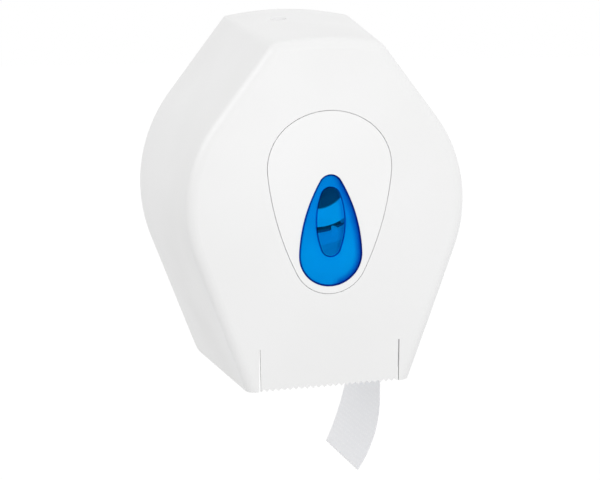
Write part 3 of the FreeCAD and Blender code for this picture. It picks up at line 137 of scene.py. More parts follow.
class LensSettings(bpy.types.PropertyGroup):
    """Colour of the clear blue window, with painted shade at its rim, on its right side and over the view
    hole.
    """

    clear: colour_setting("Clear", "Tint of the window's broad lower part", (0.0, 0.61, 1.0))
    deep: colour_setting("Deep", "Tint of the window's denser streaks", (0.0, 0.58, 0.99))
    upper: colour_setting("Upper", "Tint of the window's narrow upper part", (0.0, 0.52, 0.95))
    # View tints: painted shade, darker tints of the same plastic over the view hole that stand in for the
    # dim light inside
    view: colour_setting("View", "Tint of the window over the view hole", (0.0, 0.315, 0.79))
    hole_low_shade: colour_setting("View, low", "Tint over the view hole's lower part", (0.0, 0.32, 0.98))
    hole_right_shade: colour_setting("View, right", "Tint at the view hole's right side", (0.0, 0.165, 0.68))
    shade: colour_setting("Shade", "Colour of the light that gets through the window", (0.02, 0.90, 1.0))
    # Rim and right side: painted shade, dark tints in place of the shade at the window's edges
    rim: colour_setting("Rim", "Tint of the window's rim and of the view hole's edge", (0.0, 0.035, 0.42))
    bend: colour_setting("Bend", "Tint of the window's right side, where it turns away", (0.0, 0.24, 0.72))
    gleam_tint: colour_setting("Gleam tint", "Colour of the window's reflections", (0.0, 0.25, 0.75))
    rim_width: length_setting("Rim width", "Width of the window's dark rim", 0.0013)
    bend_width: length_setting("Bend width", "Width of the darker right side", 0.0075)
    top_radius: length_setting("Top radius", "Upper end of the window", 0.0097)
    top_height: length_setting("Top height", "Centre of the window's upper end", 0.0175)
    toe_radius: length_setting("Toe radius", "Lower end of the window", 0.0255)
    toe_height: length_setting("Toe height", "Centre of the window's lower end", -0.0365)
    side_radius: length_setting("Side radius", "Sides of the window", 0.1252)
    view_end: length_setting("View end", "Ends of the oval view hole", 0.0077)
    view_side: length_setting("View side", "Sides of the oval view hole", 0.0627)
    view_top: length_setting("View top", "Centre of the view hole's upper end", 0.0094)
    view_toe: length_setting("View toe", "Centre of the view hole's lower end", -0.0299)
    view_turn: length_setting("View turn", "Height at which the view hole's lower part begins", -0.0125)
    view_fade: length_setting("View fade", "Depth over which the lower part's tint comes in", 0.005)
    view_width: length_setting("View width", "Width of the view hole's darker right side", 0.0055)
    polish: share_setting("Polish", "Roughness of the window", 0.04)
    gleam: share_setting("Gleam", "Strength of the window's reflections, a half for glass", 0.18)
    streak: length_setting("Streak", "Size of the flow streaks in the window", 0.03)
    streak_depth: length_setting("Streak depth", "Depth of the flow streaks in the window", 0.00005)


class BaseSettings(bpy.types.PropertyGroup):
    """Colours of the mouldings inside the cover, and the painted shade inside the spool."""

    plate: colour_setting("Plate", "Colour of the back plate", (0.62, 0.63, 0.65))
    plate_worn: colour_setting("Plate, worn", "Colour of the plate's rubbed patches", (0.67, 0.68, 0.70))
    cap: colour_setting("Cap", "Colour of the spindle's cap", (0.40, 0.41, 0.43))
    cap_worn: colour_setting("Cap, worn", "Colour of the cap's rubbed patches", (0.45, 0.46, 0.48))
    spindle: colour_setting("Spindle", "Colour of the spindle", (0.82, 0.82, 0.82))
    spindle_worn: colour_setting("Spindle, worn", "Colour of its rubbed bands", (0.74, 0.74, 0.75))
    adaptor: colour_setting("Adaptor", "Colour of the spool in the roll", (0.93, 0.94, 0.95))
    adaptor_worn: colour_setting("Adaptor, worn", "Colour of its rubbed patches", (0.88, 0.89, 0.91))
    # Spool shade: painted shade, a dark grey on the spool behind its front flange, where shade falls inside
    # the roll
    spool_shade: colour_setting("Lining", "Colour of the spool behind its front flange", (0.40, 0.41, 0.44))
    flange: length_setting("Flange", "Rear of the spool's front flange, in front of the wall", 0.113)
    grain: length_setting("Grain", "Size of the spark-eroded grain", 0.0011)
    grain_depth: length_setting("Grain depth", "Depth of the spark-eroded grain", 0.00004)


class MetalSettings(bpy.types.PropertyGroup):
    """Colours of the steel pieces and of the lock."""

    steel: colour_setting("Steel", "Colour of the zinc-plated steel", (0.60, 0.61, 0.63))
    steel_dull: colour_setting("Steel, dull", "Colour of the steel's dull patches", (0.47, 0.48, 0.51))
    lock: colour_setting("Lock", "Colour of the lock's lacquer", (0.80, 0.80, 0.80))
    lock_worn: colour_setting("Lock, worn", "Colour where the key rubs the lacquer", (0.62, 0.62, 0.63))
    brushing: length_setting("Brushing", "Pitch of the brush marks", 0.0004)
    brush_depth: length_setting("Brush depth", "Depth of the steel's brush marks", 0.00001)
    ring_depth: length_setting("Ring depth", "Depth of the rings in the lock's lacquer", 0.000008)
    worn_spots: level_setting("Worn spots", "Worn spots of the lacquer in a metre", 400.0)
    head_height: length_setting("Head height", "Height of a screw's head", 0.0019)
    shank: length_setting("Shank", "Radius of a screw's shank", 0.00145)
    thread_turns: count_setting("Thread turns", "Turns of a screw's thread", 7)


class PaperSettings(bpy.types.PropertyGroup):
    """Colours of the paper and its core, and the way that the loose end hangs."""

    tissue: colour_setting("Tissue", "Colour of the paper", (0.93, 0.93, 0.94))
    tissue_shade: colour_setting("Tissue, shaded", "Colour of the paper in its emboss", (0.88, 0.88, 0.90))
    # Edges and their shaded gaps: painted shade that darkens the roll's two ends, where the layers shade
    # each other
    edges: colour_setting("Edges", "Colour of the paper's edges on the roll's ends", (0.68, 0.68, 0.69))
    edges_shade: colour_setting("Edges, shaded", "Colour between the paper's edges", (0.58, 0.58, 0.60))
    board: colour_setting("Board", "Colour of the cardboard core", (0.50, 0.38, 0.26))
    board_dark: colour_setting("Board, dark", "Colour of the core's darker fibres", (0.38, 0.28, 0.18))
    # Board, cut: painted shade, a near black on the core's cut ends, which sit in shade inside the roll
    board_end_shade: colour_setting("Board, cut", "Colour of the core's cut ends", (0.10, 0.10, 0.14))
    layer: length_setting("Layer", "Pitch of the layers that show on the roll's ends", 0.0009)
    edge_depth: length_setting("Edge depth", "Depth between the layers on the roll's ends", 0.00025)
    fibres: level_setting("Fibres", "Fibres of the board in a metre", 700.0)
    board_depth: length_setting("Board depth", "Depth of the board's fibres and joint", 0.0001)
    joint_pitch: length_setting("Joint pitch", "Pitch of the spiral joint of the core's strips", 0.05)
    joint_width: share_setting("Joint width", "Half the joint's width, as a share of its pitch", 0.018)
    dimple: length_setting("Dimple", "Pitch of the embossed dimples", 0.0042)
    emboss: length_setting("Emboss", "Depth of the embossed dimples", 0.0002)
    paper_rough: share_setting("Paper roughness", "Roughness of the paper", 0.92)
    board_rough: share_setting("Board roughness", "Roughness of the board", 0.88)
    gleam: share_setting("Gleam", "Strength of the paper's and the board's reflections", 0.2)
    gauge: length_setting("Gauge", "Thickness of the loose end", 0.00025)
    axis_height: length_setting("Roll axis", "Height of the roll's axis", 0.0175)
    hang: length_setting("Hang", "Distance of the hanging paper from the roll's axis", 0.0558)
    rear: length_setting("Rear edge", "Rear edge of the paper in front of the wall", 0.017)
    width: length_setting("Width", "Width of the paper", 0.095)
    wrap: angle_setting("Wrap", "Stretch of the loose end that lies on the roll", 25.0)
    rear_start: length_setting("Rear curl start", "Depth at which the rear edge begins to curl", 0.1407)
    rear_radius: length_setting("Rear curl", "Radius of the rear edge's curl", 0.271)
    rear_turn: angle_setting("Rear turn", "Turn of the rear edge's curl", 25.1)
    front_start: length_setting("Front curl start", "Depth at which the front edge begins to curl", 0.1775)
    front_radius: length_setting("Front curl", "Radius of the front edge's curl", 0.115)
    front_turn: angle_setting("Front turn", "Turn of the front edge's curl", 35.0)
    ripple: length_setting("Ripple", "Height of the loose end's soft ripples", 0.0007)
    tear: length_setting("Tear", "Depth of the torn edge's points", 0.0009)
    tear_points: count_setting("Tear points", "Points of the torn edge", 20)
    tear_length: length_setting("Tear length", "Length of which the tear's depth is taken as a share", 0.3)
    rows: count_setting("Rows", "Faces along the loose end", 220)
    columns: count_setting("Columns", "Faces across the loose end", 80)


class StageSettings(bpy.types.PropertyGroup):
    """Camera, lamps and floor."""

    eye: place_setting("Eye", "Place of the camera", (-0.17952, -0.87256, 0.12995))
    turn: angle_setting("Turn", "Camera to the left of the object's front", 12.255)
    tilt: angle_setting("Tilt", "Camera's view downwards", 11.847)
    roll: angle_setting("Roll", "Camera's turn about its own line of sight", -0.639)
    focal_pixels: level_setting("Focal length", "Focal length in pixels of the photograph", 961.86)
    floor_depth: length_setting("Floor", "Floor below the middle of the cover", 0.62)
    floor_reach: length_setting("Floor reach", "Half the width of the floor", 30.0)
    floor_colour: colour_setting("Floor colour", "Colour of the floor's own surface", (0.1, 0.1, 0.1))
    floor_glow: level_setting("Floor glow", "Brightness of the floor, lit from below", 0.93)
    floor_light: level_setting("Light from below", "Strength of the light from the floor", 0.55)
    around: level_setting("Light from around", "Strength of the light from the sides", 1.095)
    above: level_setting("Light from above", "Strength of the light from above", 0.87)
    sides_end: share_setting("Sides' end", "Height at which the sky is still as bright as the sides", 0.1)
    top_start: share_setting("Top's start", "Height from which the sky is as bright as above", 0.9)
    aim: place_setting("Aim", "Place that the lamps point at", (0.0, -0.1, 0.0))
    key_place: place_setting("Key lamp", "Place of the main lamp", (0.10, -1.05, 0.20))
    key_size: length_setting("Key size", "Width of the main lamp", 0.7)
    key_watts: level_setting("Key power", "Power of the main lamp in watts", 1.92)
    gleam_place: place_setting("Gleam lamp", "Place of the lamp in the shoulders", (-0.88, -0.36, 0.66))
    gleam_size: length_setting("Gleam size", "Width of the lamp in the shoulders", 0.7)
    gleam_watts: level_setting("Gleam power", "Power of the lamp in the shoulders, in watts", 3.4)


class DispenserSettings(bpy.types.PropertyGroup):
    """All the settings of the dispenser's scene."""

    cover: PointerProperty(type=CoverSettings)
    lens: PointerProperty(type=LensSettings)
    base: PointerProperty(type=BaseSettings)
    metal: PointerProperty(type=MetalSettings)
    paper: PointerProperty(type=PaperSettings)
    stage: PointerProperty(type=StageSettings)


# Nodes and materials


def feed(tree, socket, value):
    """Links a socket to another, or sets it to a plain value."""
    if isinstance(value, bpy.types.NodeSocket):
        tree.links.new(value, socket)
    elif socket.type == "RGBA" and len(value) == 3:
        socket.default_value = (*value, 1.0)
    else:
        socket.default_value = value


def put(tree, kind, inputs=None, **settings):
    """Adds a shader node with its settings, and feeds its inputs."""
    item = tree.nodes.new("ShaderNode" + kind)
    for key, value in settings.items():
        setattr(item, key, value)
    for key, value in (inputs or {}).items():
        feed(tree, item.inputs[key], value)
    return item


def figure(tree, operation, first, second=None, third=None):
    """Result of a Math node."""
    item = put(tree, "Math", operation=operation)
    for socket, value in zip(item.inputs, (first, second, third)):
        if value is not None:
            feed(tree, socket, value)
    return item.outputs["Value"]


def axes(tree, vector):
    """The three parts of a vector."""
    return put(tree, "SeparateXYZ", {"Vector": vector}).outputs


def speckle(tree, place, scale, detail, roughness=0.5):
    """Noise from 0 to 1."""
    item = put(tree, "TexNoise", {"Vector": place, "Scale": scale, "Detail": detail, "Roughness": roughness})
    return item.outputs["Fac"]


def between(tree, mask, low, high):
    """A mask from 0 to 1 turned into a value between two ends."""
    item = put(tree, "MapRange", {"Value": mask, "To Min": low, "To Max": high})
    return item.outputs["Result"]


def step(tree, value, low, high):
    """A smooth step of a value from 0 at one end to 1 at the other."""
    inputs = {"Value": value, "From Min": low, "From Max": high}
    return put(tree, "MapRange", inputs, interpolation_type="SMOOTHSTEP").outputs["Result"]


def mixture(tree, first, second, share):
    """Two values mixed, with a share of the first."""
    return figure(tree, "MULTIPLY_ADD", first, share, figure(tree, "MULTIPLY", second, 1.0 - share))


def blend(tree, mask, first, second):
    """Two colours mixed by a mask."""
    item = put(tree, "Mix", {"Factor": mask}, data_type="RGBA")
    colours = [socket for socket in item.inputs if socket.type == "RGBA"]
    feed(tree, colours[0], first)
    feed(tree, colours[1], second)
    return [socket for socket in item.outputs if socket.type == "RGBA"][0]


def object_place(tree, centre=(0.0, 0.0, 0.0), stretch=(1.0, 1.0, 1.0)):
    """Object coordinates about a centre, stretched along the axes."""
    source = put(tree, "TexCoord").outputs["Object"]
    moved = put(tree, "Mapping", {"Vector": source, "Location": [-value for value in centre]})
    return put(tree, "Mapping", {"Vector": moved.outputs["Vector"], "Scale": stretch}).outputs["Vector"]


def new_group(name, inputs, outputs):
    """A shader node group with named sockets, and the nodes at its two ends."""
    group = bpy.data.node_groups.new(name, "ShaderNodeTree")
    for label, kind in inputs:
        group.interface.new_socket(name=label, in_out="INPUT", socket_type="NodeSocket" + kind)
    for label in outputs:
        group.interface.new_socket(name=label, in_out="OUTPUT", socket_type="NodeSocketFloat")
    return group, group.nodes.new("NodeGroupInput"), group.nodes.new("NodeGroupOutput")


def moulded_skin():
    """Fine grain of a moulding, with the broad patches where its gloss and tone drift."""
    name = "moulded skin"
    grain_in_gloss = 0.35
    gloss_range = (0.35, 0.65)
    tone_range = (0.3, 0.7)
    if name in bpy.data.node_groups:
        return bpy.data.node_groups[name]
    group, start, end = new_group(
        name, [("Vector", "Vector"), ("Grain", "Float"), ("Patch", "Float")], ["Height", "Gloss", "Tone"])
    place = start.outputs["Vector"]
    grains = figure(group, "DIVIDE", 1.0, start.outputs["Grain"])
    patches = figure(group, "DIVIDE", 1.0, start.outputs["Patch"])
    fine = speckle(group, place, grains, detail=3.0, roughness=0.55)
    broad = speckle(group, place, patches, detail=2.0)
    mixed = mixture(group, fine, broad, grain_in_gloss)
    feed(group, end.inputs["Height"], fine)
    feed(group, end.inputs["Gloss"], step(group, mixed, *gloss_range))
    feed(group, end.inputs["Tone"], step(group, broad, *tone_range))
    return group


def tissue():
    """Crepe, embossed dimples and loose fibres of soft paper."""
    name = "tissue"
    cup_range = (0.05, 0.45)
    shade_range = (0.3, 0.75)
    dimples_in_height = 0.5
    fibres_in_shade = 0.4
    crepe_per_dimple = 4.5
    fibres_per_dimple = 14.0
    if name in bpy.data.node_groups:
        return bpy.data.node_groups[name]
    group, start, end = new_group(name, [("Vector", "Vector"), ("Dimple", "Float")], ["Height", "Shade"])
    place = start.outputs["Vector"]
    pitch = figure(group, "DIVIDE", 1.0, start.outputs["Dimple"])
    dimples = put(group, "TexVoronoi", {"Vector": place, "Scale": pitch, "Randomness": 0.25}, feature="F1")
    cup = step(group, dimples.outputs["Distance"], *cup_range)
    crepe = speckle(
        group, place, figure(group, "MULTIPLY", pitch, crepe_per_dimple), detail=4.0, roughness=0.7)
    fibres = speckle(group, place, figure(group, "MULTIPLY", pitch, fibres_per_dimple), detail=2.0)
    height = mixture(group, cup, crepe, dimples_in_height)
    feed(group, end.inputs["Height"], height)
    shade = mixture(group, fibres, height, fibres_in_shade)
    feed(group, end.inputs["Shade"], step(group, shade, *shade_range))
    return group


def drawn_metal():
    """Brush marks along one direction, with dull patches."""
    name = "drawn metal"
    marks_along = (0.06, 1.0, 1.0)
    patches_per_mark = 0.06
    marks_in_dullness = 0.4
    dull_range = (0.38, 0.62)
    if name in bpy.data.node_groups:
        return bpy.data.node_groups[name]
    group, start, end = new_group(name, [("Vector", "Vector"), ("Pitch", "Float")], ["Height", "Dullness"])
    lines = put(group, "Mapping", {"Vector": start.outputs["Vector"], "Scale": marks_along})
    pitch = start.outputs["Pitch"]
    marks = speckle(
        group, lines.outputs["Vector"], figure(group, "DIVIDE", 1.0, pitch), detail=3.0, roughness=0.6)
    patches = speckle(
        group, start.outputs["Vector"], figure(group, "DIVIDE", patches_per_mark, pitch), detail=3.0)
    feed(group, end.inputs["Height"], marks)
    dull = mixture(group, marks, patches, marks_in_dullness)
    feed(group, end.inputs["Dullness"], step(group, dull, *dull_range))
    return group


def new_material(name):
    """An empty node material with its output."""
    material = bpy.data.materials.new(name)
    material.use_nodes = True
    material.node_tree.nodes.clear()
    end = material.node_tree.nodes.new("ShaderNodeOutputMaterial")
    return material, material.node_tree, end


def relief(tree, height, depth, strength=1.0):
    """A normal from a height of 0 to 1 and the depth that it stands for."""
    return put(tree, "Bump", {"Height": height, "Distance": depth, "Strength": strength}).outputs["Normal"]


def let_light_through(tree, end, shader, colour, share):
    """Lets a share of the light fall through a thin piece, but not into its own slits and grooves."""
    through = put(tree, "BsdfTransparent", {"Color": colour})
    path = put(tree, "LightPath").outputs
    carried = figure(tree, "MAXIMUM", path["Is Shadow Ray"], path["Is Diffuse Ray"])
    clear = figure(tree, "MULTIPLY", carried, step(tree, path["Ray Length"], SLIT_LIGHT, FREE_LIGHT))
    mask = figure(tree, "MULTIPLY", clear, share)
    mixed = put(tree, "MixShader", {0: mask, 1: shader.outputs["BSDF"], 2: through.outputs["BSDF"]})
    feed(tree, end.inputs["Surface"], mixed.outputs["Shader"])


def moulding(name, first, second, grain, depth, patch, smooth, rough, through=0.0, marks=()):
    """A moulded plastic in two close tones, which may let light through and have marks of other colours,
    here painted shade.
    """
    material, tree, end = new_material(name)
    inputs = {"Vector": object_place(tree), "Grain": grain, "Patch": patch}
    skin = put(tree, "Group", inputs, node_tree=moulded_skin())
    tint = blend(tree, skin.outputs["Tone"], first, second)
    for colour, where in marks:
        tint = blend(tree, where(tree), tint, colour)
    shader = put(tree, "BsdfPrincipled", {
        "Base Color": tint, "Roughness": between(tree, skin.outputs["Gloss"], smooth, rough),
        "Normal": relief(tree, skin.outputs["Height"], depth), "IOR": PLASTIC_IOR})
    let_light_through(tree, end, shader, WHITE, through)
    return material


def dress(names, material):
    """Gives the named pieces a finish."""
    for name in names:
        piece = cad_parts[name]
        if not piece.material_slots:
            piece.data.materials.append(None)
        for slot in piece.material_slots:
            slot.material = material


def new_piece(context, name, shape, material):
    """An object of the scene from a finished shape."""
    mesh = bpy.data.meshes.new(name)
    shape.to_mesh(mesh)
    shape.free()
    mesh.materials.append(material)
    piece = bpy.data.objects.new(name, mesh)
    context.scene.collection.objects.link(piece)
    return piece


# Finishes of the rigid pieces


class DISPENSER_OT_cover(bpy.types.Operator):
    """Give the cover and its insert their smooth white moulding"""

    bl_idname = "dispenser.cover"
    bl_label = "Finish the cover"

    def execute(self, context):
        look = context.scene.dispenser.cover
        upright = (0.8, 0.95)

        # The slits' walls get painted shade, a dark colour in place of the shade inside the slits
        def slit_walls(tree):
            place = figure(tree, "ABSOLUTE", axes(tree, object_place(tree))["X"])
            away = figure(tree, "SUBTRACT", place, look.slit)
            near = figure(tree, "LESS_THAN", figure(tree, "ABSOLUTE", away), look.slit_reach)
            faces = put(tree, "NewGeometry").outputs["Normal"]
            sideways = figure(tree, "ABSOLUTE", axes(tree, faces)["X"])
            return figure(tree, "MULTIPLY", near, step(tree, sideways, *upright))

        skin = [look.grain, look.grain_depth, look.patch, look.smooth, look.rough, look.through]
        dress(["front_cover"], moulding(
            "white_shell", look.shell, look.shell_aged, *skin, marks=[(look.slit_shade, slit_walls)]))
        dress(["insert_plate"], moulding("white_insert", look.insert, look.insert_aged, *skin))
        return {"FINISHED"}


def drop_depth(tree, place, top_radius, top_height, toe_radius, toe_height, side_radius):
    """Depth of a point inside a drop's outline: two round ends joined by two large arcs."""
    to_top = side_radius - top_radius
    to_toe = side_radius - toe_radius
    span = top_height - toe_height
    up = (to_toe ** 2 - to_top ** 2 + top_height ** 2 - toe_height ** 2) / (2 * span)
    out = math.sqrt(to_top ** 2 - (top_height - up) ** 2)
    parts = axes(tree, place)
    flat = put(tree, "CombineXYZ", {"X": figure(tree, "ABSOLUTE", parts["X"]), "Z": parts["Z"]})

    def inside(radius, centre):
        reach = put(tree, "VectorMath", {0: flat.outputs["Vector"], 1: centre}, operation="DISTANCE")
        return figure(tree, "SUBTRACT", radius, reach.outputs["Value"])

    def above(height):
        slope = Vector((up - height, 0.0, out))
        side = put(tree, "VectorMath", {0: flat.outputs["Vector"], 1: slope}, operation="DOT_PRODUCT")
        return figure(tree, "GREATER_THAN", side.outputs["Value"], slope.dot(Vector((-out, 0.0, up))))

    depth = inside(side_radius, (-out, 0.0, up))
    for share, end in (
            (above(top_height), inside(top_radius, (0.0, 0.0, top_height))),
            (figure(tree, "SUBTRACT", 1.0, above(toe_height)), inside(toe_radius, (0.0, 0.0, toe_height)))
    ):
        depth = figure(tree, "MULTIPLY_ADD", share, figure(tree, "SUBTRACT", end, depth), depth)
    return depth


class DISPENSER_OT_lens(bpy.types.Operator):
    """Give the window its clear blue plastic"""

    bl_idname = "dispenser.lens"
    bl_label = "Finish the window"

    def execute(self, context):
        look = context.scene.dispenser.lens
        material, tree, end = new_material("blue_window")
        streak_range = (0.35, 0.65)
        # The painted shade lines come in between these shares of the rim's width
        rim_fade = (1.5, 0.5)
        line_fade = (0.6, 0.1)
        place = object_place(tree)
        flow = object_place(tree, stretch=(1.0, 1.0, 0.35))
        streaks = speckle(tree, flow, 1.0 / look.streak, detail=2.0)
        tint = blend(tree, step(tree, streaks, *streak_range), look.clear, look.deep)

        # Painted shade: the rim and the view hole's edge get dark lines, and the right sides, which turn
        # away from the light, get darker tints
        depth = drop_depth(
            tree, place, look.top_radius, look.top_height, look.toe_radius, look.toe_height,
            look.side_radius)
        hole = drop_depth(
            tree, place, look.view_end, look.view_top, look.view_end, look.view_toe, look.view_side)
        spot = axes(tree, place)

        def right_side(inside, width, reach):
            return figure(
                tree, "MULTIPLY", step(tree, inside, width, 0.0), step(tree, spot["X"], 0.0, reach))

        turned = right_side(depth, look.bend_width, look.top_radius)
        view_turned = right_side(hole, look.view_width, look.view_end)
        rim = step(tree, depth, *(look.rim_width * share for share in rim_fade))
        line = step(tree, figure(tree, "ABSOLUTE", hole), *(look.rim_width * share for share in line_fade))
        tint = blend(tree, step(tree, spot["Z"], look.toe_height, 0.0), tint, look.upper)
        tint = blend(tree, turned, tint, look.bend)
        # Painted shade on the inside seen through the view hole, darker towards its lower part and its right
        # side
        low = step(tree, spot["Z"], look.view_turn, look.view_turn - look.view_fade)
        view = blend(tree, view_turned, blend(tree, low, look.view, look.hole_low_shade), look.hole_right_shade)
        tint = blend(tree, step(tree, hole, 0.0, look.rim_width), tint, view)
        tint = blend(tree, figure(tree, "MAXIMUM", rim, line), tint, look.rim)
        shader = put(tree, "BsdfPrincipled", {
            "Base Color": tint, "Roughness": look.polish,
            "Normal": relief(tree, streaks, look.streak_depth), "IOR": PLASTIC_IOR,
            "Transmission Weight": 1.0, "Specular IOR Level": look.gleam, "Specular Tint": look.gleam_tint})

        let_light_through(tree, end, shader, look.shade, 1.0)
        dress(["window_lens"], material)
        return {"FINISHED"}


class DISPENSER_OT_base(bpy.types.Operator):
    """Give the back plate, spindle, cap and core adaptor their mouldings"""

    bl_idname = "dispenser.base"
    bl_label = "Finish the inside mouldings"

    def execute(self, context):
        look = context.scene.dispenser.base

        # Painted shade on the spool behind its front flange
        def behind_flange(tree):
            return figure(tree, "GREATER_THAN", axes(tree, object_place(tree))["Y"], -look.flange)

        skin = [look.grain, look.grain_depth]
        dress(["back_plate"], moulding(
            "grey_plate", look.plate, look.plate_worn, *skin, patch=0.05, smooth=0.45, rough=0.65))
        dress(["spindle_cap"], moulding(
            "grey_cap", look.cap, look.cap_worn, *skin, patch=0.01, smooth=0.4, rough=0.55))
        dress(["spindle_post"], moulding(
            "white_spindle", look.spindle, look.spindle_worn, *skin, patch=0.012, smooth=0.35, rough=0.55))
        dress(["core_adaptor"], moulding(
            "white_adaptor", look.adaptor, look.adaptor_worn, look.grain / 2, look.grain_depth / 3,
            patch=0.03, smooth=0.25, rough=0.4, marks=[(look.spool_shade, behind_flange)]))
        return {"FINISHED"}


class DISPENSER_OT_metal(bpy.types.Operator):
    """Give the steel pieces and the lock their finishes"""

    bl_idname = "dispenser.metal"
    bl_label = "Finish the metal"

    def execute(self, context):
        look = context.scene.dispenser.metal
        plain = ["hinge_pin_left", "hinge_pin_right", "lock_keeper", "lock_nut", "lock_cam"]
        dress([*plain, *CLIPS], steel_finish(look))
        dress(["lock_barrel", "lock_plug"], lock_finish(look))
        return {"FINISHED"}


def steel_finish(look):
    """Zinc-plated steel with brush marks."""
    name = "plated_steel"
    if name in bpy.data.materials:
        return bpy.data.materials[name]
    material, tree, end = new_material(name)
    inputs = {"Vector": object_place(tree), "Pitch": look.brushing}
    drawn = put(tree, "Group", inputs, node_tree=drawn_metal())
    shader = put(tree, "BsdfPrincipled", {
        "Base Color": blend(tree, drawn.outputs["Dullness"], look.steel, look.steel_dull),
        "Roughness": between(tree, drawn.outputs["Dullness"], low=0.25, high=0.45),
        "Normal": relief(tree, drawn.outputs["Height"], look.brush_depth), "Metallic": 1.0})
    feed(tree, end.inputs["Surface"], shader.outputs["BSDF"])
    return material


def lock_finish(look):
    """White lacquer with fine turned rings, worn through in spots."""
    material, tree, end = new_material("lacquered_lock")
    low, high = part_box("lock_plug")
    place = object_place(tree, ((low.x + high.x) / 2, (low.y + high.y) / 2, 0.0))
    rings = put(tree, "TexWave", {
        "Vector": place, "Scale": WAVE_SCALE / look.brushing, "Distortion": 1.2, "Detail": 2.0},
        wave_type="RINGS", rings_direction="Z")
    mask = step(tree, speckle(tree, place, look.worn_spots, detail=3.0), low=0.52, high=0.68)
    shader = put(tree, "BsdfPrincipled", {
        "Base Color": blend(tree, mask, look.lock, look.lock_worn),
        "Roughness": between(tree, rings.outputs["Fac"], low=0.3, high=0.42),
        "Normal": relief(tree, rings.outputs["Fac"], look.ring_depth)})
    feed(tree, end.inputs["Surface"], shader.outputs["BSDF"])
    return material


class DISPENSER_OT_roll(bpy.types.Operator):
    """Give the roll its layers and the core its board"""

    bl_idname = "dispenser.roll"
    bl_label = "Finish the roll"

    def execute(self, context):
        look = context.scene.dispenser.paper
        dress(["paper_roll"], roll_finish(look))
        dress(["cardboard_core"], board_finish(look))
        return {"FINISHED"}


def end_faces(tree):
    """1 on the two ends of a piece that lies along the roll's axis."""
    faces = put(tree, "NewGeometry").outputs["Normal"]
    facing = figure(tree, "ABSOLUTE", axes(tree, faces)["Y"])
    return step(tree, facing, low=0.5, high=0.9)


def roll_finish(look):
    """Embossed tissue round the roll, and the edges of its layers on the two ends, darkened by painted
    shade.
    """
    material, tree, end = new_material("wound_tissue")
    place = object_place(tree, (0.0, 0.0, look.axis_height))
    skin = put(tree, "Group", {"Vector": place, "Dimple": look.dimple}, node_tree=tissue())
    layers = put(tree, "TexWave", {
        "Vector": place, "Scale": WAVE_SCALE / look.layer, "Distortion": 2.5, "Detail": 3.0,
        "Detail Scale": 1.5}, wave_type="RINGS", rings_direction="Y")
    ends = end_faces(tree)
    height = between(tree, ends, skin.outputs["Shade"], layers.outputs["Fac"])
    wound = blend(tree, skin.outputs["Shade"], look.tissue, look.tissue_shade)
    # Painted shade on the roll's ends
    cut = blend(tree, layers.outputs["Fac"], look.edges, look.edges_shade)
    shader = put(tree, "BsdfPrincipled", {
        "Base Color": blend(tree, ends, wound, cut), "Roughness": look.paper_rough,
        "Normal": relief(tree, height, look.edge_depth, strength=0.6), "Specular IOR Level": look.gleam})
    feed(tree, end.inputs["Surface"], shader.outputs["BSDF"])
    return material


def board_finish(look):
    """Grey-brown board with fibres and the spiral joint of its strips, and painted shade on its cut ends."""
    material, tree, end = new_material("core_board")
    place = object_place(tree, (0.0, 0.0, look.axis_height))
    fibres = speckle(tree, place, look.fibres, detail=5.0, roughness=0.7)
    parts = axes(tree, place)
    angle = figure(tree, "ARCTAN2", parts["Z"], parts["X"])
    turns = figure(tree, "DIVIDE", angle, 2 * math.pi)
    spiral = figure(tree, "FRACT", figure(tree, "MULTIPLY_ADD", parts["Y"], 1 / look.joint_pitch, turns))
    away = figure(tree, "ABSOLUTE", figure(tree, "SUBTRACT", spiral, 0.5))
    joint = step(tree, away, look.joint_width, 0.0)
    dark = figure(tree, "MAXIMUM", step(tree, fibres, low=0.4, high=0.7), joint)
    tint = blend(tree, end_faces(tree), blend(tree, dark, look.board, look.board_dark), look.board_end_shade)
    shader = put(tree, "BsdfPrincipled", {
        "Base Color": tint, "Roughness": look.board_rough,
        "Normal": relief(tree, dark, look.board_depth, strength=0.5), "Specular IOR Level": look.gleam})
    feed(tree, end.inputs["Surface"], shader.outputs["BSDF"])
    return material


# The loose end of the paper


def edge_length(look, start, radius, turn):
    """Length of one edge of the loose end, from the roll to the tear."""
    return look.wrap * look.hang + look.axis_height + start + turn * radius


def hanging_point(look, along, start, radius, turn):
    """Place in X and Z, and outward direction, of a point along one edge of the loose end."""
    wrapped = look.wrap * look.hang
    straight = look.axis_height + start
    curled = turn * radius
    done = along * (wrapped + straight + curled)
    if done < wrapped:
        angle = look.wrap - done / look.hang
        out = Vector((math.cos(angle), math.sin(angle)))
        return Vector((0.0, look.axis_height)) + out * look.hang, out
    if done < wrapped + straight:
        return Vector((look.hang, look.axis_height - (done - wrapped))), Vector((1.0, 0.0))
    angle = -(done - wrapped - straight) / radius
    out = Vector((math.cos(angle), math.sin(angle)))
    return Vector((look.hang - radius, -start)) + out * radius, out


def drift(across, along, waves):
    """Smooth noise, with so many waves across and along the loose end."""
    wide, long, place = waves
    return noise.noise(Vector((across * wide, along * long, place)))


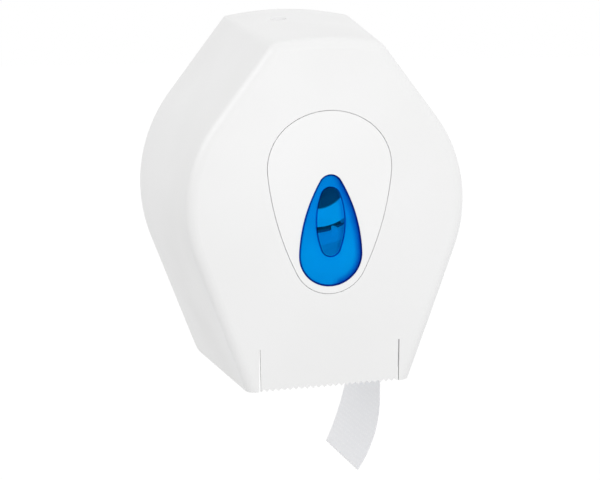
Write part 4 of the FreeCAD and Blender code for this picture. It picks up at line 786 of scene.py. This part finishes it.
def loose_place(look, along, across):
    """Place of a point of the loose end, with its soft ripples and its torn lower edge."""
    torn_from = 0.94
    torn_drift = 0.5
    ripple_from = 0.25
    ripple_growth = 0.6
    small_share = 0.4
    points = across * look.tear_points
    ragged = abs(points - round(points)) * 2 + torn_drift * drift(across, 1.0, TORN_WAVES)
    edge = max(0.0, (along - torn_from) / (1.0 - torn_from))
    along -= edge * look.tear * ragged / look.tear_length
    rear, rear_out = hanging_point(look, along, look.rear_start, look.rear_radius, look.rear_turn)
    front, front_out = hanging_point(look, along, look.front_start, look.front_radius, look.front_turn)
    flat = rear.lerp(front, across)
    out = rear_out.lerp(front_out, across)
    free = min(1.0, max(0.0, (along - ripple_from) / ripple_growth))
    wave = drift(across, along, BROAD_WAVES) + small_share * drift(across, along, SMALL_WAVES)
    flat += out * wave * look.ripple * free
    return Vector((flat.x, -(look.rear + look.width * across), flat.y))


def paper_finish(look):
    """Soft tissue whose crepe and emboss follow the sheet."""
    material, tree, end = new_material("loose_tissue")
    sheet = put(tree, "UVMap", uv_map="sheet").outputs["UV"]
    skin = put(tree, "Group", {"Vector": sheet, "Dimple": look.dimple}, node_tree=tissue())
    shader = put(tree, "BsdfPrincipled", {
        "Base Color": blend(tree, skin.outputs["Shade"], look.tissue, look.tissue_shade),
        "Roughness": look.paper_rough, "Specular IOR Level": look.gleam,
        "Normal": relief(tree, skin.outputs["Height"], look.emboss, strength=0.6)})
    feed(tree, end.inputs["Surface"], shader.outputs["BSDF"])
    return material


class DISPENSER_OT_paper_tail(bpy.types.Operator):
    """Model the loose end of the paper that hangs below the tear edge"""

    bl_idname = "dispenser.paper_tail"
    bl_label = "Hang the loose paper"

    def execute(self, context):
        look = context.scene.dispenser.paper
        rear_length = edge_length(look, look.rear_start, look.rear_radius, look.rear_turn)
        shape = bmesh.new()
        bmesh.ops.create_grid(shape, x_segments=look.rows, y_segments=look.columns, size=0.5)
        layer = shape.loops.layers.uv.new("sheet")
        for face in shape.faces:
            for loop in face.loops:
                spot = loop.vert.co
                loop[layer].uv = ((spot.y + 0.5) * look.width, (spot.x + 0.5) * rear_length)
        for vert in shape.verts:
            vert.co = loose_place(look, vert.co.x + 0.5, vert.co.y + 0.5)
        bmesh.ops.recalc_face_normals(shape, faces=shape.faces)
        piece = new_piece(context, "paper_loose_end", shape, paper_finish(look))
        piece.data.shade_smooth()
        wall = piece.modifiers.new("gauge", "SOLIDIFY")
        wall.thickness = look.gauge
        wall.offset = 0.0
        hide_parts("paper_tail")
        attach(piece, "base")
        return {"FINISHED"}


# Screws


def ring_of(shape):
    """The open edges of a shape."""
    return [edge for edge in shape.edges if edge.is_boundary]


def draw_out(shape, radius, height):
    """Draws the open rim on to a circle of a radius, at a height."""
    made = bmesh.ops.extrude_edge_only(shape, edges=ring_of(shape))
    for item in made["geom"]:
        if isinstance(item, bmesh.types.BMVert):
            flat = Vector((item.co.x, item.co.y, 0.0)).normalized()
            item.co = Vector((flat.x * radius, flat.y * radius, height))


def screw_shape(look, head, length):
    """A pan-head screw with a cross recess, its head on top and the underside of the head at zero."""
    cells = 12
    arm = 1.0 / cells
    arm_reach = 0.62
    recess_depth = look.head_height * 0.55
    recess_taper = 0.7
    crown = head * 0.8
    dome = 0.18
    root = look.shank * 0.82
    tip = look.shank * 0.25
    shape = bmesh.new()
    bmesh.ops.create_grid(shape, x_segments=cells, y_segments=cells, size=1.0)

    def in_recess(face):
        middle = face.calc_center_median()
        aside, out = sorted((abs(middle.x), abs(middle.y)))
        return aside < arm and out < arm_reach

    slot = [face for face in shape.faces if in_recess(face)]
    for vert in shape.verts:
        x, y = vert.co.x, vert.co.y
        vert.co = Vector((x * math.sqrt(1 - y * y / 2), y * math.sqrt(1 - x * x / 2), 0.0)) * crown
        rise = 1.0 - (vert.co.length / crown) ** 2
        vert.co.z = look.head_height * (1.0 - dome + dome * rise)
    sunk = bmesh.ops.extrude_face_region(shape, geom=slot)
    floor = [item for item in sunk["geom"] if isinstance(item, bmesh.types.BMVert)]
    bmesh.ops.delete(shape, geom=slot, context="FACES_ONLY")
    bmesh.ops.translate(shape, verts=floor, vec=Vector((0.0, 0.0, -recess_depth)))
    for vert in floor:
        vert.co.x *= recess_taper
        vert.co.y *= recess_taper

    # Radius and height of each ring below the crown: the head's side, its underside, the thread and the tip
    rings = [
        (head * 0.95, look.head_height * 0.6), (head, look.head_height * 0.3),
        (head, 0.0), (look.shank, 0.0)]
    steps = look.thread_turns * 2
    for index in range(steps):
        rings.append((look.shank if index % 2 else root, -length * (index + 1) / (steps + 1)))
    rings.append((tip, -length))
    for radius, height in rings:
        draw_out(shape, radius, height)
    bmesh.ops.holes_fill(shape, edges=ring_of(shape), sides=0)
    bmesh.ops.recalc_face_normals(shape, faces=shape.faces)
    return shape


class DISPENSER_OT_screws(bpy.types.Operator):
    """Model the screws with their cross recesses"""

    bl_idname = "dispenser.screws"
    bl_label = "Model the screws"

    def execute(self, context):
        look = context.scene.dispenser.metal
        towards_room = Matrix(((1, 0, 0), (0, 0, -1), (0, 1, 0)))
        downwards = Matrix(((1, 0, 0), (0, -1, 0), (0, 0, -1)))
        for name in WALL_SCREWS:
            low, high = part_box(name)
            seat = Vector(((low.x + high.x) / 2, low.y + look.head_height, (low.z + high.z) / 2))
            self.add(context, name, "base", (high.x - low.x) / 2, high.y - seat.y, seat, towards_room)
        low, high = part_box("cam_screw")
        seat = Vector(((low.x + high.x) / 2, (low.y + high.y) / 2, low.z + look.head_height))
        self.add(context, "cam_screw", "lock", (high.x - low.x) / 2, high.z - seat.z, seat, downwards)
        return {"FINISHED"}

    def add(self, context, name, body, head, length, seat, turn):
        """One screw in place of its plain solid."""
        look = context.scene.dispenser.metal
        shape = screw_shape(look, head, length)
        bmesh.ops.transform(shape, verts=shape.verts, matrix=Matrix.Translation(seat) @ turn.to_4x4())
        piece = new_piece(context, "cross_" + name, shape, steel_finish(look))
        piece.data.set_sharp_from_angle(angle=SHARP_ANGLE)
        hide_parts(name)
        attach(piece, body)


# Stage


def ray_to_surroundings(tree):
    """1 where the surroundings are seen, directly, in a reflection or through the window."""
    path = put(tree, "LightPath").outputs
    bounced = figure(tree, "MAXIMUM", path["Is Glossy Ray"], path["Is Transmission Ray"])
    return figure(tree, "MAXIMUM", path["Is Camera Ray"], bounced)


class DISPENSER_OT_stage(bpy.types.Operator):
    """Set up the camera, the lamps, the background and the floor"""

    bl_idname = "dispenser.stage"
    bl_label = "Set the stage"

    def execute(self, context):
        look = context.scene.dispenser.stage
        context.scene.view_settings.view_transform = "Standard"
        self.camera(context, look)
        self.background(context, look)
        self.lamps(context, look)
        self.floor(context, look)
        return {"FINISHED"}

    def camera(self, context, look):
        """The photograph's camera, without shift."""
        back = Vector((
            -math.sin(look.turn) * math.cos(look.tilt), -math.cos(look.turn) * math.cos(look.tilt),
            math.sin(look.tilt)))
        right = Vector((math.cos(look.turn), -math.sin(look.turn), 0.0))
        up = back.cross(right)
        rolled_right = right * math.cos(look.roll) + up * math.sin(look.roll)
        rolled_up = up * math.cos(look.roll) - right * math.sin(look.roll)
        data = bpy.data.cameras.new("photo_camera")
        data.sensor_fit = "HORIZONTAL"
        data.sensor_width = FILM_WIDTH
        data.lens = look.focal_pixels * FILM_WIDTH / PHOTO_WIDTH
        camera = bpy.data.objects.new("photo_camera", data)
        turn = Matrix((rolled_right, rolled_up, back)).transposed()
        camera.matrix_world = Matrix.Translation(Vector(look.eye)) @ turn.to_4x4()
        context.scene.collection.objects.link(camera)
        context.scene.camera = camera

    def background(self, context, look):
        """A white background, with a light of its own from around and above."""
        world = bpy.data.worlds.new("studio")
        context.scene.world = world
        world.use_nodes = True
        tree = world.node_tree
        tree.nodes.clear()
        end = tree.nodes.new("ShaderNodeOutputWorld")
        place = put(tree, "TexCoord").outputs["Generated"]
        level = put(tree, "MapRange", {
            "Value": axes(tree, place)["Z"], "From Min": look.sides_end, "From Max": look.top_start,
            "To Min": look.around, "To Max": look.above})
        light = put(tree, "Background", {"Color": WHITE, "Strength": level.outputs["Result"]})
        white = put(tree, "Background", {"Color": WHITE, "Strength": 1.0})
        mixed = put(tree, "MixShader", {
            0: ray_to_surroundings(tree), 1: light.outputs["Background"], 2: white.outputs["Background"]})
        feed(tree, end.inputs["Surface"], mixed.outputs["Shader"])

    def lamps(self, context, look):
        """The main lamp, and one at the left that only gives the shoulder its gleam."""
        self.lamp(context, "key_lamp", look.key_place, look.key_size, look.key_watts)
        gleam = self.lamp(context, "gleam_lamp", look.gleam_place, look.gleam_size, look.gleam_watts)
        gleam.visible_diffuse = False
        gleam.visible_transmission = False

    def lamp(self, context, name, place, size, watts):
        """A square lamp that points at the dispenser."""
        data = bpy.data.lights.new(name, "AREA")
        data.size = size
        data.energy = watts
        lamp = bpy.data.objects.new(name, data)
        lamp.location = place
        aim = Vector(context.scene.dispenser.stage.aim) - Vector(place)
        lamp.rotation_euler = aim.to_track_quat("-Z", "Y").to_euler()
        context.scene.collection.objects.link(lamp)
        return lamp

    def floor(self, context, look):
        """A pale floor lit from below, with a trace of the object's shadow."""
        material, tree, end = new_material("pale_floor")
        matt = put(tree, "BsdfDiffuse", {"Color": look.floor_colour})
        level = between(tree, ray_to_surroundings(tree), look.floor_light, look.floor_glow)
        glow = put(tree, "Emission", {"Color": WHITE, "Strength": level})
        both = put(tree, "AddShader", {0: matt.outputs["BSDF"], 1: glow.outputs["Emission"]})
        feed(tree, end.inputs["Surface"], both.outputs["Shader"])
        shape = bmesh.new()
        bmesh.ops.create_grid(shape, x_segments=1, y_segments=1, size=look.floor_reach)
        bmesh.ops.translate(shape, verts=shape.verts, vec=Vector((0.0, 0.0, -look.floor_depth)))
        piece = new_piece(context, "floor", shape, material)


OPERATORS = [
    DISPENSER_OT_cover, DISPENSER_OT_lens, DISPENSER_OT_base, DISPENSER_OT_metal, DISPENSER_OT_roll,
    DISPENSER_OT_paper_tail, DISPENSER_OT_screws, DISPENSER_OT_stage,
]


class DISPENSER_PT_tools(bpy.types.Panel):
    """Steps that dress the dispenser"""

    bl_idname = "DISPENSER_PT_tools"
    bl_label = "Toilet Paper Dispenser"
    bl_space_type = "VIEW_3D"
    bl_region_type = "UI"
    bl_category = "Dispenser"

    def draw(self, context):
        for operator in OPERATORS:
            self.layout.operator(operator.bl_idname)


CLASSES = [
    CoverSettings, LensSettings, BaseSettings, MetalSettings, PaperSettings, StageSettings,
    DispenserSettings, *OPERATORS, DISPENSER_PT_tools,
]


def register():
    for item in CLASSES:
        bpy.utils.register_class(item)
    bpy.types.Scene.dispenser = PointerProperty(type=DispenserSettings)


def unregister():
    del bpy.types.Scene.dispenser
    for item in reversed(CLASSES):
        bpy.utils.unregister_class(item)


def main():
    register()
    bpy.ops.dispenser.cover()
    bpy.ops.dispenser.lens()
    bpy.ops.dispenser.base()
    bpy.ops.dispenser.metal()
    bpy.ops.dispenser.roll()
    bpy.ops.dispenser.paper_tail()
    bpy.ops.dispenser.screws()
    bpy.ops.dispenser.stage()


if __name__ == "__main__":
    main()
